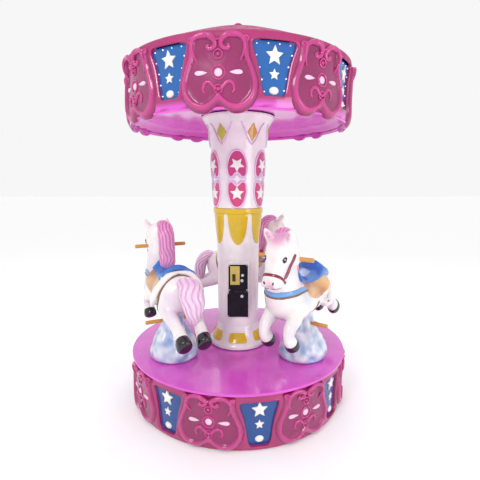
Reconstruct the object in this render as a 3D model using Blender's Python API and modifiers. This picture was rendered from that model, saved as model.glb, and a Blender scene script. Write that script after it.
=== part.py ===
"""A children's fairground carousel with three ponies, about 1.3 m across and 2.2 m tall.

The base drum, the centre column and the canopy stand still. The deck turns round the column
and carries the ponies. A small cash door is hinged in the front of the column.
Metres, +Z up. The origin is the centre of the footprint on the floor. The front is -Y.
"""

import math

import bmesh
import bpy
from mathutils import Matrix, Vector

# Driving dimensions.
GAP = 0.0003
DECK_RADIUS = 0.645
DECK_TOP = 0.3055
DECK_THICKNESS = 0.014
DRUM_TOP = 0.2865
DRUM_RADIUS = 0.626
CANOPY_RADIUS = 0.614
CANOPY_EDGE = 1.603
CANOPY_TOP = 1.893
CEILING = 1.664
ROOF_APEX = 2.150
PANEL_PAIRS = 8
SHIELD_DEPTH = 0.024
WALL = 0.014
BAND_WALL = 0.010
ROUND_STEPS = 48
COLUMN_STEPS = 36
HIDDEN_STEPS = 24

# The shields of base and canopy are turned a little against each other, seen from the front.
DRUM_PHASE = math.radians(-12.6)
CANOPY_PHASE = math.radians(-7.7)

COLUMN_RADIUS = 0.1255
COLUMN_WALL = 0.010
COLUMN_FOOT = DECK_TOP + 0.006
COLLAR_BOTTOM = 1.098
COLLAR_TOP = 1.140
CAPITAL_TOP = CEILING - GAP

PAD_FACE = -0.1265
PANEL_FACE = -0.1345
PANEL_WIDTH = 0.118
COIN_PLATE_TOP = 0.798
COIN_PLATE_BOTTOM = 0.656
CASH_DOOR_TOP = 0.650
CASH_DOOR_BOTTOM = 0.500
DOOR_THICKNESS = 0.005
KNUCKLE_RADIUS = 0.004
HINGE_LUG = 0.009
HINGE_PIN_RADIUS = 0.0013
CASH_OPENING = ((-0.046, 0.515), (0.046, 0.636))

COIN_SLOT = ((-0.0272, 0.722), (-0.0220, 0.752))
COIN_CHUTE_ROOM = 0.004
COIN_MOUTH = (-0.112, -0.070)

PONY_RADIUS = 0.425
PONY_ANGLES = (206.0, 326.0, 86.0)
PONY_AHEAD = 0.040
CLOUD_BEHIND = 0.070
BAR_RADIUS = 0.011
HANDLE_PLACE = (0.165, 0.605)
FOOT_BAR_PLACE = (-0.050, 0.205)
BAR_HALF_LENGTH = 0.155

PINK = ((0.72, 0.08, 0.34), 0.25, 0.0)
ORCHID = ((0.72, 0.16, 0.60), 0.22, 0.0)
BLUE = ((0.02, 0.19, 0.55), 0.25, 0.0)
WHITE = ((0.86, 0.82, 0.82), 0.25, 0.0)
ROSE = ((0.80, 0.42, 0.62), 0.30, 0.0)
YELLOW = ((0.78, 0.55, 0.04), 0.28, 0.0)
SADDLE_BLUE = ((0.04, 0.22, 0.62), 0.30, 0.0)
SADDLE_RED = ((0.70, 0.03, 0.12), 0.30, 0.0)
CLOUD = ((0.62, 0.76, 0.86), 0.35, 0.0)
BAR_YELLOW = ((0.80, 0.52, 0.12), 0.35, 0.0)
BLACK = ((0.012, 0.008, 0.014), 0.30, 0.0)
STEEL = ((0.45, 0.46, 0.48), 0.40, 1.0)


def clear_scene():
    """Removes whatever the file was opened with."""
    for obj in list(bpy.data.objects):
        bpy.data.objects.remove(obj)


def new_collection(name):
    collection = bpy.data.collections.new(name)
    bpy.context.scene.collection.children.link(collection)
    return collection


clear_scene()
PARTS = new_collection("carousel")
CUTTERS = new_collection("cutters")
CUTTERS.hide_render = True
MATERIALS = {}


def material(name, look):
    """A Principled material of a colour, roughness and metallic value."""
    if name not in MATERIALS:
        colour, roughness, metallic = look
        made = bpy.data.materials.new(name)
        made.use_nodes = True
        shader = made.node_tree.nodes["Principled BSDF"]
        shader.inputs["Base Color"].default_value = (*colour, 1.0)
        shader.inputs["Roughness"].default_value = roughness
        shader.inputs["Metallic"].default_value = metallic
        MATERIALS[name] = made
    return MATERIALS[name]


def add_object(name, mesh, collection=None, parent=None):
    obj = bpy.data.objects.new(name, mesh)
    (collection or PARTS).objects.link(obj)
    obj.parent = parent
    return obj


def mesh_from(bm, name):
    """A mesh of the bmesh, with its normals facing out and smooth shading over shallow edges."""
    bmesh.ops.recalc_face_normals(bm, faces=bm.faces)
    mesh = bpy.data.meshes.new(name)
    bm.to_mesh(mesh)
    bm.free()
    mesh.shade_smooth()
    mesh.set_sharp_from_angle(angle=math.radians(35))
    return mesh


def as_cutter(obj):
    """Marks a helper, so that it isn't shown and isn't a piece."""
    for collection in list(obj.users_collection):
        collection.objects.unlink(obj)
    CUTTERS.objects.link(obj)
    obj.hide_render = True
    obj.display_type = "WIRE"
    return obj


def evaluated_mesh(obj, name):
    """The object's mesh with its modifiers applied and its place kept, welded shut."""
    bpy.context.view_layer.update()
    graph = bpy.context.evaluated_depsgraph_get()
    mesh = bpy.data.meshes.new_from_object(obj.evaluated_get(graph))
    mesh.transform(obj.matrix_world)
    mesh.name = name
    bm = bmesh.new()
    bm.from_mesh(mesh)
    bmesh.ops.remove_doubles(bm, verts=bm.verts, dist=0.00001)
    bm.to_mesh(mesh)
    bm.free()
    return mesh


def cut(target, cutter, operation="DIFFERENCE"):
    """Adds a Boolean of the helper to the target."""
    modifier = target.modifiers.new(operation.lower(), "BOOLEAN")
    modifier.operation = operation
    modifier.solver = "EXACT"
    modifier.object = as_cutter(cutter)


def bake(obj, name):
    """The object's evaluated mesh, with the object itself removed."""
    mesh = evaluated_mesh(obj, name)
    bpy.data.objects.remove(obj)
    return mesh


def box(name, low, high):
    """A box between two corners, in the cutters until it is given a place."""
    bm = bmesh.new()
    bmesh.ops.create_cube(bm, size=1.0)
    size = [h - l for l, h in zip(low, high)]
    middle = [(h + l) / 2 for l, h in zip(low, high)]
    bmesh.ops.transform(bm, matrix=Matrix.Diagonal((*size, 1.0)), verts=bm.verts)
    bmesh.ops.translate(bm, vec=middle, verts=bm.verts)
    return add_object(name, mesh_from(bm, name), CUTTERS)


def cylinder(name, start, end, radius, sides, end_radius=None):
    """A cylinder or cone between two points."""
    start, end = Vector(start), Vector(end)
    axis = end - start
    bm = bmesh.new()
    bmesh.ops.create_cone(
        bm,
        cap_ends=True,
        segments=sides,
        radius1=radius,
        radius2=radius if end_radius is None else end_radius,
        depth=axis.length,
    )
    turn = axis.to_track_quat("Z", "Y").to_matrix().to_4x4()
    place = Matrix.Translation((start + end) / 2) @ turn
    bmesh.ops.transform(bm, matrix=place, verts=bm.verts)
    return add_object(name, mesh_from(bm, name), CUTTERS)


def turned(name, profile, steps=ROUND_STEPS, phase=0.0):
    """A closed profile of (radius, height) turned round the Z axis by a Screw modifier.

    The profile runs down its outer side first. The phase turns its facets about the axis.
    """
    count = len(profile)
    bm = bmesh.new()
    points = [bm.verts.new((radius, 0.0, height)) for radius, height in profile]
    on_axis = [radius < 1e-6 for radius, _ in profile]
    for i in range(count):
        j = (i + 1) % count
        if not (on_axis[i] and on_axis[j]):
            bm.edges.new((points[i], points[j]))
    mesh = bpy.data.meshes.new(name)
    bm.to_mesh(mesh)
    bm.free()
    obj = add_object(name, mesh, CUTTERS)
    screw = obj.modifiers.new("turn", "SCREW")
    screw.steps = steps
    screw.render_steps = steps
    screw.use_merge_vertices = True
    screw.merge_threshold = 0.00005
    obj.rotation_euler.z = phase
    bm = bmesh.new()
    bm.from_mesh(bake(obj, name))
    return add_object(name, mesh_from(bm, name), CUTTERS)


def outline_solid(name, points, low, high):
    """A flat closed outline in X and Y, extruded between two heights, as a mesh."""
    curve = bpy.data.curves.new(name, "CURVE")
    curve.dimensions = "2D"
    curve.fill_mode = "BOTH"
    curve.extrude = (high - low) / 2
    spline = curve.splines.new("POLY")
    spline.points.add(len(points) - 1)
    for point, (x, y) in zip(spline.points, points):
        point.co = (x, y, 0.0, 1.0)
    spline.use_cyclic_u = True
    obj = add_object(name, curve, CUTTERS)
    obj.location.z = (high + low) / 2
    mesh = bake(obj, name)
    bm = bmesh.new()
    bm.from_mesh(mesh)
    return add_object(name, mesh_from(bm, name), CUTTERS)


def loft(name, stations, sides=12, extra=0.0):
    """A closed tube through ellipses in planes that turn about Y.

    A station is (x, y, z, half width, half height, direction in degrees above +X). The extra
    makes the whole tube that much larger, for cutting room for it out of a neighbour.
    """
    bm = bmesh.new()
    rings = []
    last = len(stations) - 1
    for row, (x, y, z, half_width, half_height, degrees) in enumerate(stations):
        turn = math.radians(degrees)
        along = Vector((math.cos(turn), 0.0, math.sin(turn)))
        up = Vector((-math.sin(turn), 0.0, math.cos(turn)))
        middle = Vector((x, y, z)) + along * extra * ((row == last) - (row == 0))
        ring = []
        for k in range(sides):
            angle = 2 * math.pi * (k + 0.5) / sides
            offset = Vector((0.0, (half_width + extra) * math.cos(angle), 0.0))
            offset += up * (half_height + extra) * math.sin(angle)
            ring.append(bm.verts.new(middle + offset))
        rings.append(ring)
    for first, second in zip(rings, rings[1:]):
        for k in range(sides):
            n = (k + 1) % sides
            bm.faces.new((first[k], first[n], second[n]))
            bm.faces.new((first[k], second[n], second[k]))
    bm.faces.new(list(reversed(rings[0])))
    bm.faces.new(rings[-1])
    return add_object(name, mesh_from(bm, name), CUTTERS)


def finish(obj, name, look_name, look, parent=None):
    """Makes a helper a piece with a name and a material, with its modifiers baked."""
    bm = bmesh.new()
    bm.from_mesh(bake(obj, name))
    mesh = mesh_from(bm, name)
    mesh.materials.clear()
    mesh.materials.append(material(look_name, look))
    return add_object(name, mesh, PARTS, parent)


# Decorated rings: the base drum and the canopy share one pattern of shields and windows.

# Half of a shield's outline as (share of the half width, share of the height), from the notch
# at the bottom, round the lobe, up the side to the top.
SHIELD_HALF = (
    (0.00, 0.100),
    (0.17, 0.055),
    (0.30, 0.012),
    (0.47, 0.000),
    (0.66, 0.025),
    (0.84, 0.100),
    (0.96, 0.220),
    (1.00, 0.350),
    (0.97, 0.470),
    (0.88, 0.600),
    (0.79, 0.740),
    (0.76, 0.880),
    (0.74, 0.950),
    (0.60, 0.985),
    (0.40, 1.000),
    (0.18, 0.990),
    (0.00, 0.950),
)
SHIELD_HALF_WIDTH = 0.172
WINDOW_TOP_HALF = 0.108
WINDOW_FOOT_HALF = 0.052


def shield_outline(bottom, top):
    right = [(SHIELD_HALF_WIDTH * u, bottom + (top - bottom) * v) for u, v in SHIELD_HALF]
    left = [(-x, y) for x, y in reversed(right[1:-1])]
    return right + left


def flat_sector(name, radius, bottom, top, shield_bottom, shield_top, window):
    """One of the eight bays of a ring, unrolled: X along the arc, Y up, Z outwards."""
    half = math.pi * radius / PANEL_PAIRS
    sector = box(name, (-half, bottom, 0.0), (half, top, WALL))
    outline = shield_outline(shield_bottom, shield_top)
    cut(sector, outline_solid(name + "_shield", outline, 0.002, WALL + SHIELD_DEPTH), "UNION")
    low, high = window
    for side in (-1, 1):
        corners = [
            (side * half - WINDOW_FOOT_HALF, low),
            (side * half + WINDOW_FOOT_HALF, low),
            (side * half + WINDOW_TOP_HALF, high),
            (side * half - WINDOW_TOP_HALF, high),
        ]
        cut(sector, outline_solid(name + "_window", corners, -0.01, WALL + 0.005))
    return bake(sector, name), half


def wrapped_ring(name, sector, count, half, inner_radius, phase):
    """Copies of an unrolled bay, bent round the axis and sewn into one closed ring."""
    bm = bmesh.new()
    bm.from_mesh(sector)
    folds = 6
    for k in range(1, folds):
        geometry = bm.verts[:] + bm.edges[:] + bm.faces[:]
        place = (-half + 2 * half * k / folds, 0.0, 0.0)
        bmesh.ops.bisect_plane(bm, geom=geometry, dist=0.00001, plane_co=place, plane_no=(1, 0, 0))
    seam = [f for f in bm.faces if all(abs(abs(v.co.x) - half) < 0.0001 for v in f.verts)]
    bmesh.ops.delete(bm, geom=seam, context="FACES")
    first = bm.verts[:] + bm.edges[:] + bm.faces[:]
    for bay in range(1, count):
        made = bmesh.ops.duplicate(bm, geom=first)["geom"]
        copies = [g for g in made if isinstance(g, bmesh.types.BMVert)]
        bmesh.ops.translate(bm, vec=(2 * half * bay, 0.0, 0.0), verts=copies)
    for vert in bm.verts:
        angle = vert.co.x / half * math.pi / count - math.pi / 2 + phase
        radius = inner_radius + vert.co.z
        vert.co = (radius * math.cos(angle), radius * math.sin(angle), vert.co.y)
    bmesh.ops.remove_doubles(bm, verts=bm.verts, dist=0.00005)
    bmesh.ops.dissolve_degenerate(bm, dist=0.00005, edges=bm.edges)
    bmesh.ops.triangulate(bm, faces=bm.faces)
    mesh = bpy.data.meshes.new(name)
    bm.to_mesh(mesh)
    bm.free()
    return add_object(name, mesh, CUTTERS)


def decorated_ring(name, radius, bottom, top, shield_bottom, shield_top, window, phase):
    inner = radius - WALL
    sector, half = flat_sector(name, radius, bottom, top, shield_bottom, shield_top, window)
    ring = wrapped_ring(name, sector, PANEL_PAIRS, half, inner, phase)
    return finish(ring, name, "pink", PINK)


def plain_ring(name, outer, inner, low, high, look_name, look, steps=ROUND_STEPS, phase=0.0):
    profile = [(outer, high), (outer, low), (inner, low), (inner, high)]
    return finish(turned(name, profile, steps, phase), name, look_name, look)


def base():
    """The drum that stands on the floor, with the steel that carries column and deck."""
    decorated_ring("base_skirt", DRUM_RADIUS, 0.0, DRUM_TOP, 0.006, DRUM_TOP - 0.002,
                   (0.040, 0.246), DRUM_PHASE)
    outer = DRUM_RADIUS - WALL - GAP
    inner = outer - BAND_WALL
    plain_ring("base_star_band", outer, inner, 0.002, DRUM_TOP, "blue", BLUE, phase=DRUM_PHASE)
    plate_top = 0.014
    rim = inner - GAP
    plate = turned("base_plate", [(rim, plate_top), (rim, 0), (0, 0), (0, plate_top)],
                   phase=DRUM_PHASE)
    finish(plate, "base_plate", "steel", STEEL)
    bearing_top = DECK_TOP - DECK_THICKNESS - GAP
    plain_ring("turntable_bearing", 0.240, 0.200, plate_top + GAP, bearing_top, "steel", STEEL,
               HIDDEN_STEPS)
    post_top = COLUMN_FOOT - GAP
    plain_ring("centre_post", 0.090, 0.078, plate_top + GAP, post_top, "steel", STEEL,
               HIDDEN_STEPS)


def canopy():
    """The crown: a decorated ring, its lining, the ceiling and the roof."""
    decorated_ring("canopy_skirt", CANOPY_RADIUS, CANOPY_EDGE, CANOPY_TOP - GAP,
                   CANOPY_EDGE - 0.034, CANOPY_TOP - 0.002, (1.658, 1.856), CANOPY_PHASE)
    band_outer = CANOPY_RADIUS - WALL - GAP
    band_inner = band_outer - BAND_WALL
    low = CANOPY_EDGE + 0.004
    plain_ring("canopy_star_band", band_outer, band_inner, low, CANOPY_TOP - GAP, "blue", BLUE,
               phase=CANOPY_PHASE)
    lining_outer = band_inner - GAP
    lining_inner = lining_outer - BAND_WALL
    plain_ring("canopy_lining", lining_outer, lining_inner, CANOPY_EDGE, CANOPY_TOP - GAP,
               "orchid", ORCHID, phase=CANOPY_PHASE)
    ceiling_radius = lining_inner - GAP
    ceiling_top = CEILING + 0.010
    ceiling = turned("canopy_ceiling", [
        (ceiling_radius, ceiling_top),
        (ceiling_radius, CEILING),
        (0, CEILING),
        (0, ceiling_top),
    ], phase=CANOPY_PHASE)
    finish(ceiling, "canopy_ceiling", "orchid", ORCHID)
    edge = 0.620
    roof = [
        (0.030, ROOF_APEX),
        (0.300, 2.046),
        (0.520, 1.948),
        (0.600, 1.914),
        (edge, 1.902),
        (edge, CANOPY_TOP),
        (0.520, CANOPY_TOP),
        (0.300, 2.030),
        (0.000, ROOF_APEX - 0.016),
        (0.000, ROOF_APEX),
    ]
    finish(turned("canopy_roof", roof), "canopy_roof", "pink", PINK)
    knob_foot = ROOF_APEX + GAP
    knob = [
        (0.0, knob_foot + 0.020),
        (0.016, knob_foot + 0.017),
        (0.026, knob_foot + 0.008),
        (0.028, knob_foot),
        (0.0, knob_foot),
    ]
    finish(turned("roof_knob", knob, 24), "roof_knob", "pink", PINK)


# Column.


def petal_outline(count, low, high, radius, share):
    """A pointed petal, unrolled: widest near its root at high, its tip at low."""
    half = math.pi * radius / count * share
    rows = ((0.0, 0.10), (0.10, 0.34), (0.28, 0.66), (0.52, 0.92), (0.75, 1.0), (1.0, 0.96))
    right = [(half * w, low + (high - low) * t) for t, w in rows]
    return right + [(-x, y) for x, y in reversed(right)]


def petal_collar():
    """The yellow ring with six petals that hang from it, clasping the column."""
    inner = COLUMN_RADIUS + GAP
    petal_wall = 0.006
    count = 6
    half = math.pi * inner / count
    sector = box("petal_collar", (-half, COLLAR_BOTTOM, 0.0), (half, COLLAR_TOP, 0.018))
    outline = petal_outline(count, 0.930, COLLAR_BOTTOM + 0.012, inner, 0.86)
    cut(sector, outline_solid("petal", outline, 0.0, petal_wall), "UNION")
    mesh = bake(sector, "petal_collar")
    ring = wrapped_ring("petal_collar", mesh, count, half, inner, 0.0)
    return finish(ring, "petal_collar", "yellow", YELLOW)


def column():
    """The hollow centre column: foot and shaft, petal collar, and the decorated upper drum."""
    inner = COLUMN_RADIUS - COLUMN_WALL
    shaft = turned("column_shaft", [
        (COLUMN_RADIUS, COLLAR_TOP - 0.002),
        (COLUMN_RADIUS, 0.470),
        (0.128, 0.430),
        (0.136, 0.395),
        (0.152, 0.360),
        (0.170, 0.338),
        (0.1775, 0.326),
        (0.1775, COLUMN_FOOT),
        (0.070, COLUMN_FOOT),
        (0.070, COLUMN_FOOT + 0.012),
        (inner, COLUMN_FOOT + 0.040),
        (inner, COLLAR_TOP - 0.002),
    ], COLUMN_STEPS)
    border = 0.008
    half = PANEL_WIDTH / 2 + border
    cut(shaft, box("panel_pad", (-half, PAD_FACE, CASH_DOOR_BOTTOM - border),
                   (half, -0.102, COIN_PLATE_TOP + border)), "UNION")
    (left, low), (right, high) = CASH_OPENING
    cut(shaft, box("cash_opening", (left, -0.2, low), (right, -0.05, high)))
    (left, low), (right, high) = COIN_SLOT
    cut(shaft, box("coin_chute", (left - COIN_CHUTE_ROOM, -0.2, low - COIN_CHUTE_ROOM),
                   (right + COIN_CHUTE_ROOM, -0.05, high + COIN_CHUTE_ROOM)))
    cut(shaft, box("coin_drop", (left - COIN_CHUTE_ROOM, COIN_MOUTH[0], CASH_OPENING[1][1]),
                   (right + COIN_CHUTE_ROOM, -0.05, low)))
    finish(shaft, "column_shaft", "white", WHITE)
    petal_collar()
    upper = turned("column_upper", [
        (0.190, CAPITAL_TOP),
        (0.2124, CAPITAL_TOP - 0.004),
        (0.2110, 1.648),
        (0.1960, 1.630),
        (0.1780, 1.596),
        (0.1670, 1.545),
        (0.1590, 1.480),
        (0.1575, 1.388),
        (0.1525, 1.300),
        (0.1470, 1.210),
        (0.1438, COLLAR_TOP + GAP),
        (0.105, COLLAR_TOP + GAP),
        (0.115, 1.480),
        (0.150, CAPITAL_TOP),
    ], COLUMN_STEPS)
    finish(upper, "column_upper", "white", WHITE)


def cash_door(half):
    """The door with its bored knuckle, and the fixed lugs and pin that it turns on."""
    axis = (-half, PANEL_FACE)
    low, high = CASH_DOOR_BOTTOM, CASH_DOOR_TOP
    lug_low, lug_high = low + HINGE_LUG, high - HINGE_LUG
    gap = 0.0005
    door = box("cash_door", (-half, PANEL_FACE, low), (half, PANEL_FACE + DOOR_THICKNESS, high))
    reach = 0.005
    for corner_low, corner_high in ((low - 0.01, lug_low + gap), (lug_high - gap, high + 0.01)):
        cut(door, box("lug_room", (-half - 0.01, PANEL_FACE - 0.01, corner_low),
                      (-half + reach, PANEL_FACE + 0.01, corner_high)))
    cut(door, cylinder("knuckle", (*axis, lug_low + gap), (*axis, lug_high - gap),
                       KNUCKLE_RADIUS, 12), "UNION")
    cut(door, cylinder("knuckle_bore", (*axis, low - 0.01), (*axis, high + 0.01),
                       HINGE_PIN_RADIUS + 2 * GAP, 12))
    finish(door, "cash_door", "black", BLACK)
    hinge = cylinder("hinge_pin", (*axis, low + gap), (*axis, high - gap), HINGE_PIN_RADIUS, 12)
    for lug_ends in ((low + gap, lug_low), (lug_high, high - gap)):
        bottom, top = lug_ends
        cut(hinge, cylinder("hinge_lug", (*axis, bottom), (*axis, top), KNUCKLE_RADIUS, 12), "UNION")
        cut(hinge, box("hinge_web", (-half - KNUCKLE_RADIUS, PANEL_FACE, bottom),
                       (-half + KNUCKLE_RADIUS, PAD_FACE - GAP, top)), "UNION")
    finish(hinge, "cash_door_hinge", "steel", STEEL)


def coin_panel():
    """The fixed coin plate, the cash door that is hinged below it, and the bin behind the door."""
    half = PANEL_WIDTH / 2
    button_x = 0.022
    plate = box("coin_plate", (-half, PANEL_FACE, COIN_PLATE_BOTTOM),
                (half, PAD_FACE - GAP, COIN_PLATE_TOP))
    (slot_left, slot_low), (slot_right, slot_high) = COIN_SLOT
    cut(plate, box("coin_slot", (slot_left, -0.2, slot_low), (slot_right, -0.1, slot_high)))
    finish(plate, "coin_plate", "black", BLACK)
    button = cylinder("coin_return_button", (button_x, PANEL_FACE - 0.009, 0.722),
                      (button_x, PANEL_FACE - GAP, 0.722), 0.009, 16)
    finish(button, "coin_return_button", "steel", STEEL)
    cash_door(half)
    lock = cylinder("cash_door_lock", (button_x, PANEL_FACE - 0.008, 0.628),
                    (button_x, PANEL_FACE - GAP, 0.628), 0.009, 16)
    finish(lock, "cash_door_lock", "steel", STEEL)
    (left, low), (right, high) = CASH_OPENING
    left, low, right, high = left + GAP, low + GAP, right - GAP, high - GAP
    wall, lip = 0.003, 0.045
    mouth_y, back_y = PAD_FACE + 0.002, -0.030
    cash_bin = box("cash_bin", (left, mouth_y, low), (right, back_y, high))
    cut(cash_bin, box("bin_room", (left + wall, mouth_y + wall, low + wall),
                      (right - wall, back_y - wall, high - wall)))
    cut(cash_bin, box("bin_mouth", (left + wall, mouth_y - 0.01, low + lip),
                      (right - wall, mouth_y + 2 * wall, high - wall)))
    cut(cash_bin, box("coin_mouth", (slot_left - COIN_CHUTE_ROOM, COIN_MOUTH[0], high - lip / 2),
                      (slot_right + COIN_CHUTE_ROOM, COIN_MOUTH[1], high + lip / 2)))
    finish(cash_bin, "cash_bin", "steel", STEEL)


# Ponies, in a frame of their own: +X ahead, +Y to the outside of the ride, Z from the deck.

TORSO = (
    (-0.292, 0, 0.398, 0.040, 0.045, 0),
    (-0.272, 0, 0.394, 0.078, 0.084, 0),
    (-0.215, 0, 0.386, 0.108, 0.108, 0),
    (-0.130, 0, 0.374, 0.114, 0.108, 0),
    (-0.030, 0, 0.362, 0.114, 0.100, 0),
    (0.060, 0, 0.364, 0.118, 0.104, 0),
    (0.132, 0, 0.382, 0.114, 0.116, 20),
    (0.178, 0, 0.420, 0.100, 0.112, 45),
    (0.194, 0, 0.480, 0.084, 0.096, 68),
    (0.194, 0, 0.550, 0.074, 0.084, 86),
    (0.186, 0, 0.620, 0.066, 0.072, 96),
    (0.176, 0, 0.672, 0.056, 0.054, 98),
)
HEAD = (
    (0.146, 0, 0.728, 0.030, 0.018, -56),
    (0.162, 0, 0.710, 0.056, 0.048, -57),
    (0.188, 0, 0.670, 0.073, 0.068, -60),
    (0.216, 0, 0.624, 0.077, 0.070, -62),
    (0.246, 0, 0.576, 0.066, 0.060, -62),
    (0.272, 0, 0.534, 0.057, 0.052, -62),
    (0.292, 0, 0.500, 0.053, 0.048, -62),
    (0.302, 0, 0.480, 0.036, 0.030, -62),
)
HIND_LEG = (
    (-0.180, 0.066, 0.370, 0.048, 0.080, -92),
    (-0.205, 0.070, 0.322, 0.048, 0.066, -116),
    (-0.262, 0.067, 0.288, 0.038, 0.046, -140),
    (-0.325, 0.061, 0.262, 0.031, 0.036, -154),
    (-0.375, 0.056, 0.238, 0.034, 0.038, -152),
    (-0.425, 0.051, 0.212, 0.041, 0.042, -150),
)
FORE_LEG = (
    (0.130, 0.058, 0.350, 0.044, 0.070, -60),
    (0.185, 0.068, 0.300, 0.038, 0.048, -45),
    (0.240, 0.070, 0.262, 0.032, 0.034, -60),
    (0.250, 0.069, 0.228, 0.030, 0.032, -105),
    (0.232, 0.068, 0.200, 0.034, 0.036, -125),
    (0.208, 0.068, 0.175, 0.037, 0.038, -130),
)
MANE = (
    (0.220, -0.008, 0.704, 0.018, 0.012, 135),
    (0.182, -0.014, 0.720, 0.034, 0.024, 155),
    (0.144, -0.018, 0.722, 0.042, 0.032, 200),
    (0.112, -0.018, 0.682, 0.044, 0.036, 240),
    (0.098, -0.018, 0.620, 0.044, 0.040, 256),
    (0.082, -0.016, 0.550, 0.044, 0.040, 250),
    (0.056, -0.012, 0.498, 0.042, 0.034, 235),
)
TAIL = (
    (-0.235, 0, 0.462, 0.030, 0.022, 190),
    (-0.275, 0, 0.468, 0.050, 0.032, 205),
    (-0.318, 0, 0.440, 0.058, 0.038, 235),
    (-0.342, 0, 0.384, 0.056, 0.040, 258),
    (-0.346, 0, 0.330, 0.044, 0.036, 270),
    (-0.340, 0, 0.285, 0.028, 0.024, 285),
    (-0.332, 0, 0.260, 0.010, 0.010, 290),
)
SADDLE = (
    (-0.232, 0, 0.434, 0.092, 0.096, -10),
    (-0.208, 0, 0.414, 0.116, 0.130, -8),
    (-0.165, 0, 0.384, 0.126, 0.126, -5),
    (-0.090, 0, 0.368, 0.128, 0.118, 0),
    (0.010, 0, 0.366, 0.130, 0.122, 1),
    (0.070, 0, 0.378, 0.132, 0.150, 5),
    (0.112, 0, 0.398, 0.120, 0.160, 10),
    (0.134, 0, 0.412, 0.096, 0.146, 12),
)
CLOUD_RINGS = (
    (0.000, 0.130),
    (0.018, 0.138),
    (0.070, 0.128),
    (0.120, 0.102),
    (0.165, 0.076),
    (0.220, 0.062),
    (0.300, 0.056),
)
SADDLE_FOOT = 0.345
SADDLE_BACK = -0.060
SADDLE_BACK_FOOT = 0.412


def pair(stations):
    """The stations of a limb on the outer side and on the inner side."""
    return [[(x, side * y, z, w, h, a) for x, y, z, w, h, a in stations] for side in (1, -1)]


def pony_body(extra=0.0):
    """Torso, neck, head, legs and ears in one moulding."""
    body = loft("pony_body", TORSO, 12, extra)
    cut(body, loft("pony_head", HEAD, 10, extra), "UNION")
    for limb in pair(HIND_LEG) + pair(FORE_LEG):
        cut(body, loft("pony_leg", limb, 8, extra), "UNION")
    for side in (1, -1):
        root, tip = (0.206, side * 0.042, 0.678), (0.251, side * 0.066, 0.744)
        ear = cylinder("pony_ear", root, tip, 0.026 + extra, 8, 0.004 + extra)
        cut(body, ear, "UNION")
    return bake(body, "pony_body")


def fitted(stations, name, sides, around):
    """A loft with the room of the body cut out of it."""
    piece = loft(name, stations, sides)
    cut(piece, add_object(name + "_room", around, CUTTERS))
    return piece


def bar(name, place, radius):
    x, z = place
    return cylinder(name, (x, -BAR_HALF_LENGTH, z), (x, BAR_HALF_LENGTH, z), radius, 12)


def cloud_mount(around):
    """The lumpy cloud that carries a pony from the deck up to its belly."""
    sides = 14
    bm = bmesh.new()
    rings = []
    for row, (height, radius) in enumerate(CLOUD_RINGS):
        ring = []
        for k in range(sides):
            angle = 2 * math.pi * k / sides
            lump = 1 + 0.07 * math.sin(3 * angle + 0.9 * row) * (0 < row < 5)
            ring.append(bm.verts.new((radius * lump * math.cos(angle) - CLOUD_BEHIND,
                                      0.94 * radius * lump * math.sin(angle), height + GAP)))
        rings.append(ring)
    for first, second in zip(rings, rings[1:]):
        for k in range(sides):
            n = (k + 1) % sides
            bm.faces.new((first[k], first[n], second[n], second[k]))
    bm.faces.new(list(reversed(rings[0])))
    bm.faces.new(rings[-1])
    mount = add_object("cloud_mount", mesh_from(bm, "cloud_mount"), CUTTERS)
    cut(mount, add_object("cloud_room", around, CUTTERS))
    cut(mount, bar("foot_bar_hole", FOOT_BAR_PLACE, BAR_RADIUS + GAP))
    return mount


def pony_pieces():
    """(node suffix, mesh, material name, look) of each piece of a pony."""
    body_mesh = pony_body()
    room = pony_body(0.0005)
    body = add_object("pony_body", body_mesh, CUTTERS)
    cut(body, bar("handle_hole", HANDLE_PLACE, BAR_RADIUS + GAP))
    saddle = fitted(SADDLE, "saddle", 12, room)
    cut(saddle, box("saddle_trim", (-0.4, -0.3, 0.0), (0.4, 0.3, SADDLE_FOOT)))
    cut(saddle, box("saddle_back_trim", (-0.5, -0.4, -0.1), (SADDLE_BACK, 0.4, SADDLE_BACK_FOOT)))
    mane = fitted(MANE, "mane", 8, room)
    cut(mane, bar("mane_handle_hole", HANDLE_PLACE, BAR_RADIUS + GAP))
    cut(mane, loft("mane_saddle_room", SADDLE, 12, GAP))
    tail = fitted(TAIL, "tail", 8, room)
    cut(tail, loft("tail_saddle_room", SADDLE, 12, GAP))
    return [
        ("body", bake(body, "pony_body"), "white", WHITE),
        ("mane", bake(mane, "pony_mane"), "rose", ROSE),
        ("tail", bake(tail, "pony_tail"), "rose", ROSE),
        ("saddle", bake(saddle, "pony_saddle"), "saddle_blue", SADDLE_BLUE),
        ("handle_bar", bake(bar("handle_bar", HANDLE_PLACE, BAR_RADIUS), "pony_handle_bar"),
         "bar_yellow", BAR_YELLOW),
        ("foot_bar", bake(bar("foot_bar", FOOT_BAR_PLACE, BAR_RADIUS), "pony_foot_bar"),
         "bar_yellow", BAR_YELLOW),
        ("cloud", bake(cloud_mount(room), "pony_cloud"), "cloud", CLOUD),
    ]


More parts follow.
